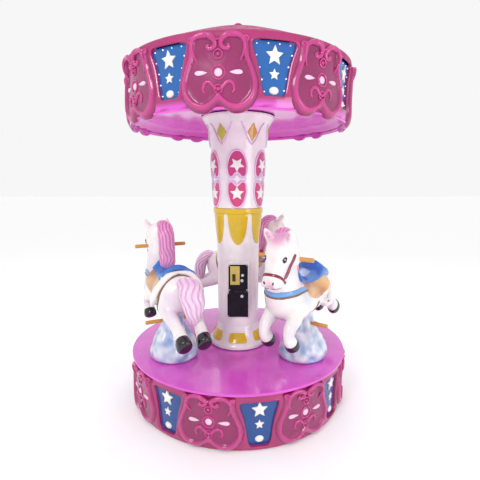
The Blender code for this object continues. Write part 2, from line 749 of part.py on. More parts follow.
def turntable():
    """The deck and the three ponies that it carries, all moving clockwise seen from above."""
    hole = 0.104
    low = DECK_TOP - DECK_THICKNESS
    profile = [
        (DECK_RADIUS - 0.003, DECK_TOP),
        (DECK_RADIUS, DECK_TOP - 0.004),
        (DECK_RADIUS, low),
        (hole, low),
        (hole, DECK_TOP),
    ]
    finish(turned("deck", profile), "deck", "orchid", ORCHID)
    pieces = pony_pieces()
    for number, degrees in enumerate(PONY_ANGLES, start=1):
        angle = math.radians(degrees)
        stand = bpy.data.objects.new(f"pony_{number}_place", None)
        PARTS.objects.link(stand)
        middle = Vector((math.cos(angle), math.sin(angle), 0.0)) * PONY_RADIUS
        ahead = Vector((math.sin(angle), -math.cos(angle), 0.0)) * PONY_AHEAD
        stand.location = middle + ahead + Vector((0.0, 0.0, DECK_TOP))
        stand.rotation_euler.z = angle - math.pi / 2
        for suffix, mesh, look_name, look in pieces:
            own = mesh.copy()
            own.shade_smooth()
            own.set_sharp_from_angle(angle=math.radians(35))
            if suffix == "saddle" and number == 3:
                look_name, look = "saddle_red", SADDLE_RED
            own.materials.clear()
            own.materials.append(material(look_name, look))
            add_object(f"pony_{number}_{suffix}", own, PARTS, stand)


base()
canopy()
column()
coin_panel()
turntable()
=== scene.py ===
"""The looks of a children's fairground carousel with three ponies.

Every piece is built in metres, in the same frame as the solids that it dresses: +Z up, the
turning axis on X = Y = 0, the front on -Y. Decoration is first drawn flat, as (across, height,
proud), and then bent round the axis. A pony is built once in a frame of its own, +X ahead and
+Y to the outside of the ride, and then set on the deck three times.
"""

import logging
import math
from collections.abc import Callable, Sequence
from dataclasses import dataclass, field, replace
from enum import Enum

import bmesh
import bpy
import numpy as np
from mathutils import Matrix, Vector, noise
from mathutils.bvhtree import BVHTree


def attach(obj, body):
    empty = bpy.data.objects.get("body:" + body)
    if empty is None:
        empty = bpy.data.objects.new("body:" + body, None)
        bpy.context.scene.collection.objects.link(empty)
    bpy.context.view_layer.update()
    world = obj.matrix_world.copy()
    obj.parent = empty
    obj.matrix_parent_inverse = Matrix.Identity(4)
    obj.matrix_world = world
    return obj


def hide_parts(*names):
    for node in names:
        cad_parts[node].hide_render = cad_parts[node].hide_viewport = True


LOG = logging.getLogger("carousel")
Array = np.ndarray
Colour = tuple[float, float, float]
Material = bpy.types.Material
Mesh = bpy.types.Mesh
Piece = bpy.types.Object
Socket = bpy.types.NodeSocket

PAINT = "paint"
GLOW = "glow"
STRAND_MAP = "strands"
BOTH_SIDES = (1, -1)
PHOTO_WIDTH = 480.0
AXIS_COLUMN = 238.15
CAMERA_PLACE = (0.0, -2.29125, 1.2727)
CAMERA_DOWN = 0.1443
FLOOR_REACH = 40.0
WORLD_FADE = {"From Min": -0.35, "From Max": 0.30, "To Min": 0.84, "To Max": 0.93}
WHITE = (1.0, 1.0, 1.0)


def tint(red: int, green: int, blue: int) -> Colour:
    """A colour given as it looks on a screen, 0 to 255, as linear light."""
    shares = (red / 255.0, green / 255.0, blue / 255.0)
    return tuple(s / 12.92 if s <= 0.04045 else ((s + 0.055) / 1.055) ** 2.4 for s in shares)


WHITE_COAT = tint(238, 233, 231)
MAGENTA = tint(168, 42, 106)
# The shields' raised rims, scrolls and bosses are painted lighter and their sunk fields darker:
# painted highlight and painted shade.
MAGENTA_HIGHLIT_RIDGE = tint(190, 54, 130)
MAGENTA_SHADED_HOLLOW = tint(142, 34, 94)
ORCHID = tint(214, 84, 198)
VAULT_PINK = tint(218, 92, 198)
PANEL_BLUE = tint(20, 94, 168)
BASE_BLUE = tint(18, 72, 142)
STAR_WHITE = tint(236, 236, 232)
LEAF_PINK = tint(238, 196, 222)
HEART_PINKS = (tint(196, 40, 120), tint(206, 58, 118))
DIAMOND_GOLD = tint(200, 150, 60)
DIAMOND_GREEN = tint(186, 176, 58)
PETAL_YELLOW = tint(214, 178, 12)
SADDLE_BLUE = tint(44, 110, 196)
SADDLE_RED = tint(196, 24, 62)
STRAP_BROWN = tint(116, 88, 62)
BRIDLE_RED = tint(132, 16, 54)
SEAT_EDGE = tint(150, 190, 230)
LEATHERS = (tint(184, 122, 70), tint(232, 188, 136))
# The darker tone goes in the hair's grooves and the lighter on its crests: painted shade and painted
# highlight.
MANE_SHADE_AND_HIGHLIGHT = (tint(150, 62, 122), tint(232, 152, 204))
TAIL_SHADE_AND_HIGHLIGHT = (tint(186, 128, 178), tint(240, 206, 232))
CLOUD_TONES = (tint(128, 160, 206), tint(226, 228, 236))
EAR_PINK = tint(214, 110, 170)
LASH_GREY = tint(120, 112, 132)
LID_GREY = tint(70, 62, 84)
EYE_BLACK = tint(12, 10, 14)
# A white dot set on each eye as a painted highlight.
EYE_HIGHLIGHT = tint(250, 250, 250)
NOSTRIL = tint(60, 24, 48)
MOUTH = tint(120, 60, 90)
HOOF_BLACK = tint(22, 14, 22)
BAR_GOLD = tint(206, 146, 60)
PLATE_BLACK = tint(18, 8, 26)
STICKER_YELLOW = tint(206, 186, 90)
LILAC = tint(198, 160, 204)
# Lilac painted on the column's white rims, scrolls and veins as painted shade, so that they stand
# out from the white.
RIM_SHADE_LILAC = tint(220, 190, 222)
ROSE = tint(226, 150, 196)
SKY = tint(112, 158, 214)


class Body(Enum):
    """The bodies that pieces are set on here. The cash door's own solids show as they are."""

    STAND = "stand"
    TURNTABLE = "turntable"


class Slot(Enum):
    """The finish slots of the part that pieces are set on."""

    PINK = "pink"
    BLUE = "blue"
    WHITE = "white"
    ORCHID = "orchid"
    YELLOW = "yellow"
    BLACK = "black"
    STEEL = "steel"
    ROSE = "rose"
    CLOUD = "cloud"
    BAR_YELLOW = "bar_yellow"
    SADDLE_BLUE = "saddle_blue"
    SADDLE_RED = "saddle_red"


class Finish(Enum):
    """The finishes, each with its material's name."""

    PAINTED = "painted_gel_coat"
    MOULDED = "moulded_gel_coat"
    WEATHERED = "weathered_gel_coat"
    SATIN = "satin_sleeve"
    TRIM = "white_trim"
    LABEL = "blank_label"
    BLACK = "black_enamel"
    HAIR = "moulded_hair"
    STEEL = "worn_steel"
    LENS = "lit_lens"
    GROUND = "pale_floor"


Finishes = dict[Finish, Material]


class NodeMaker:
    """Adds shader nodes to one material and joins them."""

    def __init__(self, name: str) -> None:
        """Starts a material with a Principled shader."""
        self.material = bpy.data.materials.new(name)
        self.material.use_nodes = True
        self.tree = self.material.node_tree
        self.shader = self.tree.nodes["Principled BSDF"]
        self.coordinates = self.tree.nodes.new("ShaderNodeTexCoord").outputs["Object"]

    def add(self, kind: str, **inputs: object) -> bpy.types.Node:
        """A new node with its inputs set or joined.

        Args:
            kind: the node's type.
            inputs: a value or an output socket for each named input.

        Returns:
            The node.
        """
        node = self.tree.nodes.new(kind)
        for key, value in inputs.items():
            self.feed(node.inputs[key.replace("_", " ")], value)
        return node

    def feed(self, socket: Socket, value: object) -> None:
        """Sets a socket to a value, or joins an output to it."""
        if isinstance(value, Socket):
            self.tree.links.new(value, socket)
        else:
            socket.default_value = value

    def settle(self, **inputs: object) -> None:
        """Sets or joins the named inputs of the Principled shader."""
        for key, value in inputs.items():
            self.feed(self.shader.inputs[key.replace("_", " ")], value)

    def attribute(self, name: str) -> Socket:
        """The colour that a piece stores on its points under a name."""
        node = self.tree.nodes.new("ShaderNodeAttribute")
        node.attribute_name = name
        return node.outputs["Color"]

    def noise(self, scale: float, detail: float = 2.0, roughness: float = 0.5,
              place: Socket | None = None) -> Socket:
        """Soft random shares of 0 to 1, at that many lumps to the metre of the place given."""
        node = self.add("ShaderNodeTexNoise", Vector=place or self.coordinates, Scale=scale,
                        Detail=detail, Roughness=roughness)
        return node.outputs["Fac"]

    def stretched(self, place: Socket, scale: Sequence[float]) -> Socket:
        """The place with each of its axes scaled."""
        return self.add("ShaderNodeMapping", Vector=place, Scale=scale).outputs["Vector"]

    def ranged(self, value: Socket, low: float, high: float, to_low: float,
               to_high: float) -> Socket:
        """The value carried from one range to another and held inside it."""
        node = self.add("ShaderNodeMapRange", Value=value, From_Min=low, From_Max=high,
                        To_Min=to_low, To_Max=to_high)
        return node.outputs["Result"]

    def swung(self, noise: Socket, low: float, high: float) -> Socket:
        """The middle of some noise spread from one value to another."""
        return self.ranged(noise, 0.3, 0.7, low, high)

    def scaled(self, colour: object, factor: Socket) -> Socket:
        """The colour made lighter or darker by a factor."""
        node = self.tree.nodes.new("ShaderNodeVectorMath")
        node.operation = "SCALE"
        self.feed(node.inputs[0], colour)
        self.feed(node.inputs["Scale"], factor)
        return node.outputs["Vector"]

    def bumps(self, heights: Sequence[tuple[Socket, float, float]]) -> None:
        """Joins a chain of bumps, each with its height, strength and depth in metres."""
        normal = None
        for height, strength, depth in heights:
            node = self.add("ShaderNodeBump", Height=height, Strength=strength, Distance=depth)
            if normal is not None:
                self.feed(node.inputs["Normal"], normal)
            normal = node.outputs["Normal"]
        self.feed(self.shader.inputs["Normal"], normal)


@dataclass(frozen=True)
class GelCoat:
    """Glossy coloured skin of moulded fibreglass, hand-laid, so never quite flat or even."""

    tone: Colour = WHITE
    painted: bool = False
    roughness: float = 0.20
    mottling: float = 0.10
    mottle_scale: float = 7.0
    wave_depth: float = 0.0035
    peel_depth: float = 0.00035
    coat: float = 0.4
    gleam: float = 0.5

    def material(self, name: str) -> Material:
        """The finish as a material.

        Args:
            name: the material's name.

        Returns:
            A material whose colour is the tone, or the piece's own paint attribute.
        """
        make = NodeMaker(name)
        shade = make.swung(make.noise(self.mottle_scale, 4.0, 0.6), 1.0 - self.mottling,
                           1.0 + self.mottling)
        dust = make.ranged(make.noise(240.0, 3.0, 0.7), 0.66, 0.80, 1.0, 0.90)
        colour = make.attribute(PAINT) if self.painted else self.tone
        make.settle(Base_Color=make.scaled(make.scaled(colour, shade), dust),
                    Roughness=make.ranged(make.noise(18.0, 5.0, 0.65), 0.35, 0.7,
                                          self.roughness * 0.75, self.roughness * 1.45),
                    Specular_IOR_Level=self.gleam, Coat_Weight=self.coat, Coat_Roughness=0.06)
        make.bumps([(make.noise(8.0, 1.0), 0.35, self.wave_depth),
                    (make.noise(150.0), 0.30, self.peel_depth)])
        return make.material


@dataclass(frozen=True)
class Strands:
    """Painted hair moulded in strands: fine lines run along the piece's own second coordinate."""

    roughness: float = 0.24

    def material(self, name: str) -> Material:
        """The finish as a material that reads the piece's paint and its strand map."""
        make = NodeMaker(name)
        along = make.add("ShaderNodeUVMap")
        along.uv_map = STRAND_MAP
        hairs = make.noise(1.0, 4.0, 0.6, make.stretched(along.outputs["UV"], (46.0, 2.2, 1.0)))
        # The strand lines that make the bump also lighten the colour where they stand up and darken
        # it where they sink: painted highlight and painted shade.
        make.settle(Base_Color=make.scaled(make.attribute(PAINT), make.swung(hairs, 0.84, 1.12)),
                    Roughness=make.swung(hairs, self.roughness * 0.8, self.roughness * 1.4),
                    Coat_Weight=0.35, Coat_Roughness=0.08)
        make.bumps([(hairs, 0.5, 0.0012), (make.noise(160.0), 0.2, 0.0003)])
        return make.material


@dataclass(frozen=True)
class Metal:
    """Bare or plated metal, lightly brushed and fingered."""

    tone: Colour = (0.55, 0.55, 0.57)
    roughness: float = 0.30

    def material(self, name: str) -> Material:
        """The finish as a material."""
        make = NodeMaker(name)
        brushing = make.noise(40.0, 3.0, place=make.stretched(make.coordinates, (1.0, 1.0, 40.0)))
        make.settle(Base_Color=make.scaled(self.tone, make.swung(make.noise(60.0, 3.0), 0.85, 1.12)),
                    Roughness=make.swung(brushing, self.roughness * 0.8, self.roughness * 1.35),
                    Metallic=1.0)
        make.bumps([(brushing, 0.15, 0.0002)])
        return make.material


@dataclass(frozen=True)
class Lamp:
    """The small lit lenses along the panels' edges."""

    strength: float = 1.2

    def material(self, name: str) -> Material:
        """The finish as a material that glows in the piece's own glow attribute."""
        make = NodeMaker(name)
        lit = make.scaled(make.attribute(GLOW), make.swung(make.noise(400.0), 0.85, 1.15))
        make.settle(Base_Color=lit, Emission_Color=lit, Emission_Strength=self.strength,
                    Roughness=0.12)
        return make.material


@dataclass(frozen=True)
class Ground:
    """The plain pale floor."""

    tone: Colour = (0.92, 0.92, 0.93)
    lift: float = 0.14

    def material(self, name: str) -> Material:
        """The finish as a material."""
        make = NodeMaker(name)
        make.settle(Base_Color=make.scaled(self.tone, make.swung(make.noise(3.0, 3.0), 0.985, 1.01)),
                    Emission_Color=(*WHITE, 1.0), Emission_Strength=self.lift, Roughness=0.7)
        return make.material


def around(count: int) -> Array:
    """Angles in radians, evenly spaced round a circle."""
    return np.arange(count) * 2 * math.pi / count


def paint_points(mesh: Mesh, colours: Colour | Array) -> None:
    """Stores a colour for each point of a mesh, or one for all, as its paint."""
    paint = mesh.attributes.get(PAINT) or mesh.attributes.new(PAINT, "FLOAT_COLOR", "POINT")
    rows = np.ones((len(mesh.vertices), 4), np.float32)
    rows[:, :3] = colours
    paint.data.foreach_set("color", rows.ravel())


class Shape:
    """Points and faces gathered into one mesh, with a colour for each point."""

    def __init__(self) -> None:
        """Starts with nothing."""
        self.points: list[Array] = []
        self.faces: list[tuple[int, ...]] = []
        self.colours: list[Array] = []
        self.size = 0

    def add(self, points: Array, faces: Sequence[tuple[int, ...]],
            colour: Colour | Array = WHITE) -> None:
        """Adds points and the faces between them.

        Args:
            points: one row of three numbers for each point.
            faces: indices into those points.
            colour: one colour for all, or a row for each point.
        """
        points = np.asarray(points, float).reshape(-1, 3)
        start = self.size
        self.points.append(points)
        self.faces.extend(tuple(start + i for i in face) for face in faces)
        self.colours.append(np.broadcast_to(np.asarray(colour, float), (len(points), 3)))
        self.size += len(points)

    def grid(self, rows: Array, wrap: bool = True, loop: bool = False, caps: bool = False,
             colour: Colour | Array = WHITE) -> None:
        """Adds a sheet of quads through rows of points.

        Args:
            rows: points as (rows, columns, 3).
            wrap: whether each row closes on itself.
            loop: whether the last row joins the first.
            caps: whether the first and the last row are closed with a fan.
            colour: one colour, or one for each point of the rows.
        """
        count, across = rows.shape[:2]
        faces = []
        for r in range(count if loop else count - 1):
            s = (r + 1) % count
            for c in range(across if wrap else across - 1):
                d = (c + 1) % across
                faces.append((r * across + c, r * across + d, s * across + d, s * across + c))
        points = rows.reshape(-1, 3)
        shades = np.broadcast_to(np.asarray(colour, float).reshape(-1, 3), (len(points), 3))
        if caps:
            ends = []
            for row in (0, count - 1):
                middle = len(points) + len(ends)
                ends.append(rows[row].mean(axis=0))
                base = row * across
                faces.extend((base + c, base + (c + 1) % across, middle) for c in range(across))
            points = np.vstack([points, ends])
            shades = np.vstack([shades, shades[[0]], shades[[-1]]])
        self.add(points, faces, shades)

    def merged(self, other: "Shape", moved: Callable[[Array], Array] | None = None) -> None:
        """Adds all of another shape, its points passed through a function first."""
        points = np.vstack(other.points)
        self.add(moved(points) if moved else points, other.faces, np.vstack(other.colours))

    def mesh(self, name: str, sharp: float = 40.0) -> Mesh:
        """The shape as a mesh.

        Args:
            name: the mesh's name.
            sharp: the angle in degrees over which an edge stays sharp.

        Returns:
            A mesh with its faces pointing outwards and its paint stored on its points.
        """
        made = bpy.data.meshes.new(name)
        made.from_pydata(np.vstack(self.points).tolist(), [], self.faces)
        paint_points(made, np.vstack(self.colours))
        return tidy(made, sharp)


def tidy(mesh: Mesh, sharp: float = 40.0) -> Mesh:
    """The mesh merged, with its faces pointing outwards and shaded smooth up to an angle."""
    bm = bmesh.new()
    bm.from_mesh(mesh)
    bmesh.ops.remove_doubles(bm, verts=bm.verts, dist=0.000002)
    bmesh.ops.dissolve_degenerate(bm, edges=bm.edges, dist=0.000001)
    bmesh.ops.recalc_face_normals(bm, faces=bm.faces)
    bm.to_mesh(mesh)
    bm.free()
    mesh.shade_smooth()
    mesh.set_sharp_from_angle(angle=math.radians(sharp))
    return mesh


def placed(name: str, mesh: Mesh, finish: Material | None) -> Piece:
    """A new object of the mesh, at the origin, in that finish."""
    if finish is not None:
        mesh.materials.clear()
        mesh.materials.append(finish)
    made = bpy.data.objects.new(name, mesh)
    bpy.context.scene.collection.objects.link(made)
    return made


def evaluated(source: Piece, name: str) -> Mesh:
    """The object's mesh with its modifiers applied, and the object gone."""
    bpy.context.view_layer.update()
    graph = bpy.context.evaluated_depsgraph_get()
    mesh = bpy.data.meshes.new_from_object(source.evaluated_get(graph))
    mesh.name = name
    bpy.data.objects.remove(source)
    return mesh


def carved(source: Piece, name: str, boxes: Sequence[tuple[str, Mesh]]) -> Mesh:
    """A piece's mesh with boxes joined to it or cut out of it.

    Args:
        source: the piece, which is used up.
        name: the new mesh's name.
        boxes: UNION or DIFFERENCE with the mesh of each box, in order.

    Returns:
        The new mesh.
    """
    tools = []
    for operation, box in boxes:
        tools.append(placed("tool", box, None))
        cut = source.modifiers.new("cut", "BOOLEAN")
        cut.object = tools[-1]
        cut.operation = operation
        cut.solver = "EXACT"
    mesh = evaluated(source, name)
    for tool in tools:
        bpy.data.objects.remove(tool)
    return tidy(mesh, 35.0)


def dress(piece: Piece, body: Body, slot: Slot, *nodes: str) -> None:
    """Sets a finished piece on its body and hides the nodes that it stands for."""
    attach(piece, body.value)
    if nodes:
        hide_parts(*nodes)
    LOG.info("%s rides on %s, %d faces", piece.name, body.value, len(piece.data.polygons))


def smooth_line(points: Sequence[Sequence[float]], steps: int, closed: bool = False) -> Array:
    """Points along a smooth curve through the given ones.

    Args:
        points: the points that the curve passes.
        steps: how many points each stretch between two given ones gets.
        closed: whether the curve comes back to its start.

    Returns:
        The points of the curve, one in each row.
    """
    given = np.asarray(points, float)
    count = len(given)
    if closed:
        padded = np.vstack([given[-1], given, given[0], given[1]])
        stretches = count
    else:
        padded = np.vstack([2 * given[0] - given[1], given, 2 * given[-1] - given[-2]])
        stretches = count - 1
    t = np.linspace(0.0, 1.0, steps, endpoint=False)[:, None]
    made = []
    for k in range(stretches):
        a, b, c, d = padded[k:k + 4]
        made.append(0.5 * (2 * b + (c - a) * t + (2 * a - 5 * b + 4 * c - d) * t ** 2
                           + (3 * b - a - 3 * c + d) * t ** 3))
    if not closed:
        made.append(given[-1:])
    return np.vstack(made)


def swept(path: Array, radii: Array, sides: int = 10, flat: float = 1.0,
          up: Sequence[float] = (0.0, 0.0, 1.0)) -> Array:
    """Rings of points round a path, with its ends rounded off.

    Args:
        path: the points of the path.
        radii: the radius at each of them.
        sides: how many points a ring has.
        flat: how high the ring is, as a share of its width.
        up: the direction that the ring's height keeps to.

    Returns:
        The rings as (rings, sides, 3).
    """
    along = np.gradient(path, axis=0)
    along /= np.linalg.norm(along, axis=1)[:, None] + 1e-12
    side = np.cross(along, np.asarray(up, float))
    side /= np.linalg.norm(side, axis=1)[:, None] + 1e-12
    rise = np.cross(side, along)
    angles = around(sides)
    rings = []

    def ring(i: int, share: float, ahead: float) -> None:
        """Adds a ring at a point of the path, or ahead of it by a share of its radius."""
        middle = path[i] + along[i] * ahead * radii[i]
        reach = radii[i] * share
        rings.append(middle + side[i] * (np.cos(angles) * reach)[:, None]
                     + rise[i] * (np.sin(angles) * reach * flat)[:, None])

    ends = [math.radians(turn) for turn in (80, 55, 28)]
    for turn in ends:
        ring(0, math.cos(turn), -math.sin(turn))
    for i in range(len(path)):
        ring(i, 1.0, 0.0)
    for turn in reversed(ends):
        ring(len(path) - 1, math.cos(turn), math.sin(turn))
    return np.array(rings)


def closed_tube(line: Array, wide: float, high: float, sides: int = 8) -> Array:
    """Rings round a closed flat line, drawn as (across, height, proud).

    Args:
        line: the line's points.
        wide: half of the tube's width.
        high: half of what it stands proud.
        sides: how many points a ring has.

    Returns:
        The rings as (points of the line, sides, 3).
    """
    along = np.roll(line, -1, 0) - np.roll(line, 1, 0)
    along /= np.linalg.norm(along, axis=1)[:, None] + 1e-12
    away = np.cross(along, (0.0, 0.0, 1.0))
    turn = around(sides)
    rows = line[:, None] + away[:, None] * (np.cos(turn) * wide)[None, :, None]
    rows[:, :, 2] += np.sin(turn)[None] * high
    return rows


def rounded_profile(corners: Sequence[tuple[float, float, float]], steps: int = 4) -> list:
    """A closed profile with its corners rounded.

    Args:
        corners: (radius, height, rounding) of each corner.
        steps: how many stretches a rounded corner gets.

    Returns:
        The profile's points as (radius, height).
    """
    made = []
    count = len(corners)
    for i in range(count):
        here = np.array(corners[i][:2])
        size = corners[i][2]
        before = np.array(corners[i - 1][:2])
        after = np.array(corners[(i + 1) % count][:2])
        if size <= 0.0:
            made.append(tuple(here))
            continue
        start = here + (before - here) / np.linalg.norm(before - here) * size
        end = here + (after - here) / np.linalg.norm(after - here) * size
        for t in np.linspace(0.0, 1.0, steps + 1):
            made.append(tuple((1 - t) ** 2 * start + 2 * t * (1 - t) * here + t ** 2 * end))
    return made


def walked(corners: Array | Sequence[Sequence[float]], stops: Sequence[float],
           whole: float = 1.0) -> Array:
    """Points of a closed line of straight stretches.

    Args:
        corners: where the stretches meet, as (across, height).
        stops: where the points lie on each stretch.
        whole: the stop that would be the stretch's end.

    Returns:
        The points, one in each row.
    """
    starts = np.asarray(corners, float)
    return np.array([a + (b - a) * stop / whole
                     for a, b in zip(starts, np.roll(starts, -1, axis=0)) for stop in stops])


def stacked(middle: Sequence[float], outline: Array,
            levels: Sequence[tuple[float, float]]) -> Array:
    """Rings of one flat outline, shrunk and raised level by level.

    Args:
        middle: the (across, height, proud) that the outline lies round.
        outline: its points from that middle, as (across, height).
        levels: the share of the outline and how far it stands proud, for each ring.

    Returns:
        The rings as (levels, points, 3).
    """
    middle = np.asarray(middle, float)
    return np.array([np.column_stack([middle[:2] + outline * share,
                                      np.full(len(outline), middle[2] + proud)])
                     for share, proud in levels])


def dome(middle: Sequence[float], across: float, up: float, height: float, sides: int = 24,
         rows: int = 6, foot: float = 0.002) -> Array:
    """Rings of an oval dome that stands proud of the flat: (across, height, proud) points."""
    turn = around(sides)
    levels = [(1.0, -foot)]
    levels += [(math.cos(a), math.sin(a) * height) for a in np.linspace(0.0, 1.5, rows)]
    return stacked(middle, np.column_stack([across * np.cos(turn), up * np.sin(turn)]), levels)


def star_rings(middle: Sequence[float], radius: float, thickness: float, tilt: float = 0.0,
               waist: float = 0.47) -> Array:
    """Rings of a five-pointed plate with a softly rounded edge, as (across, height, proud)."""
    angles = math.pi / 2 + tilt + around(10)
    reach = np.where(np.arange(10) % 2 == 0, radius, radius * waist)
    corner = np.stack([reach * np.cos(angles), reach * np.sin(angles)], axis=1)
    outline = walked(corner, (0.06, 0.35, 0.65, 0.94))
    return stacked(middle, outline, ((1.0, -0.002), (1.0, thickness * 0.6),
                                     (0.975, thickness * 0.9), (0.92, thickness),
                                     (0.5, thickness * 1.04)))


class Repeater:
    """A Geometry Nodes tree with named inputs, which makes one plain mesh of another."""

    def __init__(self, name: str, **kinds: str) -> None:
        """Starts the tree.

        Args:
            name: the tree's name.
            kinds: the kind of socket for each named input beside the geometry.
        """
        self.tree = bpy.data.node_groups.new(name, "GeometryNodeTree")
        self.tree.is_modifier = True
        face = self.tree.interface
        face.new_socket("Geometry", in_out="INPUT", socket_type="NodeSocketGeometry")
        self.inputs = {key: face.new_socket(key, in_out="INPUT", socket_type="NodeSocket" + kind)
                       for key, kind in kinds.items()}
        face.new_socket("Geometry", in_out="OUTPUT", socket_type="NodeSocketGeometry")

    def node(self, kind: str, **settings: object) -> bpy.types.Node:
        """A new node with its settings made."""
        made = self.tree.nodes.new(kind)
        for key, value in settings.items():
            setattr(made, key, value)
        return made

    def join(self, *links: tuple[Socket, Socket]) -> None:
        """Joins each output to its input."""
        for output, target in links:
            self.tree.links.new(output, target)

    def run(self, mesh: Mesh, name: str, **values: object) -> Mesh:
        """The mesh that the tree makes of the given one, with its inputs set by name."""
        source = placed(name + "_source", mesh, None)
        modifier = source.modifiers.new("tree", "NODES")
        modifier.node_group = self.tree
        for key, value in values.items():
            modifier[self.inputs[key].identifier] = value
        return evaluated(source, name)


class RoundRepeater(Repeater):
    """Repeats a mesh round the Z axis."""

    def __init__(self) -> None:
        """Builds the tree."""
        super().__init__("repeat_round_axis", Count="Int", Phase="Float", Finish="Material")
        source = self.node("NodeGroupInput").outputs
        points = self.node("GeometryNodePoints")
        index = self.node("GeometryNodeInputIndex")
        share = self.node("ShaderNodeMath", operation="DIVIDE")
        share.inputs[0].default_value = 2 * math.pi
        turn = self.node("ShaderNodeMath", operation="MULTIPLY_ADD")
        angle = self.node("ShaderNodeCombineXYZ")
        instances = self.node("GeometryNodeInstanceOnPoints")
        real = self.node("GeometryNodeRealizeInstances")
        weld = self.node("GeometryNodeMergeByDistance")
        weld.inputs["Distance"].default_value = 0.00001
        finish = self.node("GeometryNodeSetMaterial")
        out = self.node("NodeGroupOutput")
        self.join((source["Count"], points.inputs["Count"]),
                  (source["Count"], share.inputs[1]),
                  (index.outputs["Index"], turn.inputs[0]),
                  (share.outputs["Value"], turn.inputs[1]),
                  (source["Phase"], turn.inputs[2]),
                  (turn.outputs["Value"], angle.inputs["Z"]),
                  (points.outputs["Points"], instances.inputs["Points"]),
                  (source["Geometry"], instances.inputs["Instance"]),
                  (angle.outputs["Vector"], instances.inputs["Rotation"]),
                  (instances.outputs["Instances"], real.inputs["Geometry"]),
                  (real.outputs["Geometry"], weld.inputs["Geometry"]),
                  (weld.outputs["Geometry"], finish.inputs["Geometry"]),
                  (source["Finish"], finish.inputs["Material"]),
                  (finish.outputs["Geometry"], out.inputs["Geometry"]))

    def wrapped(self, flat: Shape, wall: "RoundWall", name: str, count: int, phase: float,
                finish: Material) -> Piece:
        """Bends a flat shape onto a wall and copies it round the axis as one plain piece.

        Args:
            flat: the shape as (across, height, proud).
            wall: what it is bent onto.
            name: the piece's name.
            count: how many copies there are.
            phase: how far the first is turned, in radians.
            finish: the material of all of them.

        Returns:
            The new piece.
        """
        bent = Shape()
        bent.merged(flat, wall.bend)
        mesh = self.run(bent.mesh(name + "_flat"), name, Count=count, Phase=phase, Finish=finish)
        return placed(name, tidy(mesh), finish)


class LineRepeater(Repeater):
    """Sets small lenses along a closed line and gives each a colour."""

    BLUEST = (0.20, 0.22, 0.80)
    PINKEST = (1.0, 0.70, 1.0)

    def __init__(self) -> None:
        """Builds the tree."""
        super().__init__("lenses_along_a_line", Count="Int", Radius="Float", Seed="Int",
                         Finish="Material")
        source = self.node("NodeGroupInput").outputs
        line = self.node("GeometryNodeMeshToCurve")
        spaced = self.node("GeometryNodeResampleCurve")
        lens = self.node("GeometryNodeMeshIcoSphere")
        lens.inputs["Subdivisions"].default_value = 2
        instances = self.node("GeometryNodeInstanceOnPoints")
        pick = self.node("FunctionNodeRandomValue", data_type="FLOAT_VECTOR")
        pick.inputs["Min"].default_value = self.BLUEST
        pick.inputs["Max"].default_value = self.PINKEST
        store = self.node("GeometryNodeStoreNamedAttribute", data_type="FLOAT_COLOR",
                          domain="INSTANCE")
        store.inputs["Name"].default_value = GLOW
        real = self.node("GeometryNodeRealizeInstances")
        finish = self.node("GeometryNodeSetMaterial")
        out = self.node("NodeGroupOutput")
        self.join((source["Geometry"], line.inputs["Mesh"]),
                  (line.outputs["Curve"], spaced.inputs["Curve"]),
                  (source["Count"], spaced.inputs["Count"]),
                  (spaced.outputs["Curve"], instances.inputs["Points"]),
                  (source["Radius"], lens.inputs["Radius"]),
                  (lens.outputs["Mesh"], instances.inputs["Instance"]),
                  (source["Seed"], pick.inputs["Seed"]),
                  (instances.outputs["Instances"], store.inputs["Geometry"]),
                  (pick.outputs["Value"], store.inputs["Value"]),
                  (store.outputs["Geometry"], real.inputs["Geometry"]),
                  (real.outputs["Geometry"], finish.inputs["Geometry"]),
                  (source["Finish"], finish.inputs["Material"]),
                  (finish.outputs["Geometry"], out.inputs["Geometry"]))

    def along(self, points: Array, name: str, count: int, radius: float, seed: int,
              finish: Material) -> Mesh:
        """Sets lenses along a closed line.

        Args:
            points: the line's points.
            name: the mesh's name.
            count: how many lenses there are.
            radius: the radius of each.
            seed: what the colours are drawn from.
            finish: the material of all of them.

        Returns:
            The mesh of all the lenses.
        """
        mesh = bpy.data.meshes.new(name)
        last = len(points) - 1
        mesh.from_pydata(points.tolist(), [(i, i + 1) for i in range(last)] + [(last, 0)], [])
        return self.run(mesh, name, Count=count, Radius=radius, Seed=seed, Finish=finish)


def mixed(low: Colour | Array, high: Colour, share: Array) -> Array:
    """Rows of colours between two, one for each share of 0 to 1. The first may be rows too."""
    share = np.clip(np.asarray(share, float), 0.0, 1.0).reshape(-1, 1)
    return np.asarray(low) * (1 - share) + np.asarray(high) * share


def ramp(value: Array, low: float, high: float) -> Array:
    """How far the value has gone from low to high, softly, as 0 to 1."""
    t = np.clip((np.asarray(value, float) - low) / (high - low), 0.0, 1.0)
    return t * t * (3 - 2 * t)


def spot(points: Array, middle: Sequence[float], reach: float) -> Array:
    """How strongly an airbrush held at a point marks each of the points, as 0 to 1."""
    away = np.linalg.norm(points - np.asarray(middle, float), axis=1)
    return 1.0 - ramp(away, reach * 0.35, reach)


def lumps(points: Array, scale: float, seed: float = 0.0) -> Array:
    """Soft noise of about -1 to 1 at each of the points."""
    shift = Vector((seed, seed * 0.7, -seed))
    return np.array([noise.noise(Vector(p) * scale + shift) for p in points])


def mirrored(points: Sequence[tuple[float, float]]) -> list[tuple[float, float]]:
    """A right half, from its foot to its top on the middle line, closed with its left half."""
    right = list(points)
    return right + [(-u, v) for u, v in reversed(right[1:-1])]


def plate(outline: Array, foot: float, proud: float, crown: float = 0.0,
          edge: float = 0.0015) -> Array:
    """Rings of a flat plate with a soft edge, drawn as (across, height, proud)."""
    middle = outline.mean(axis=0)
    edge_share = edge / np.abs(outline - middle).max()
    return stacked((*middle, 0.0), outline - middle,
                   ((1.0, foot), (1.0, proud - edge), (1.0 - 0.4 * edge_share, proud),
                    (1.0 - 1.6 * edge_share, proud + crown * 0.1),
                    (0.6, proud + crown * 0.7), (0.05, proud + crown)))


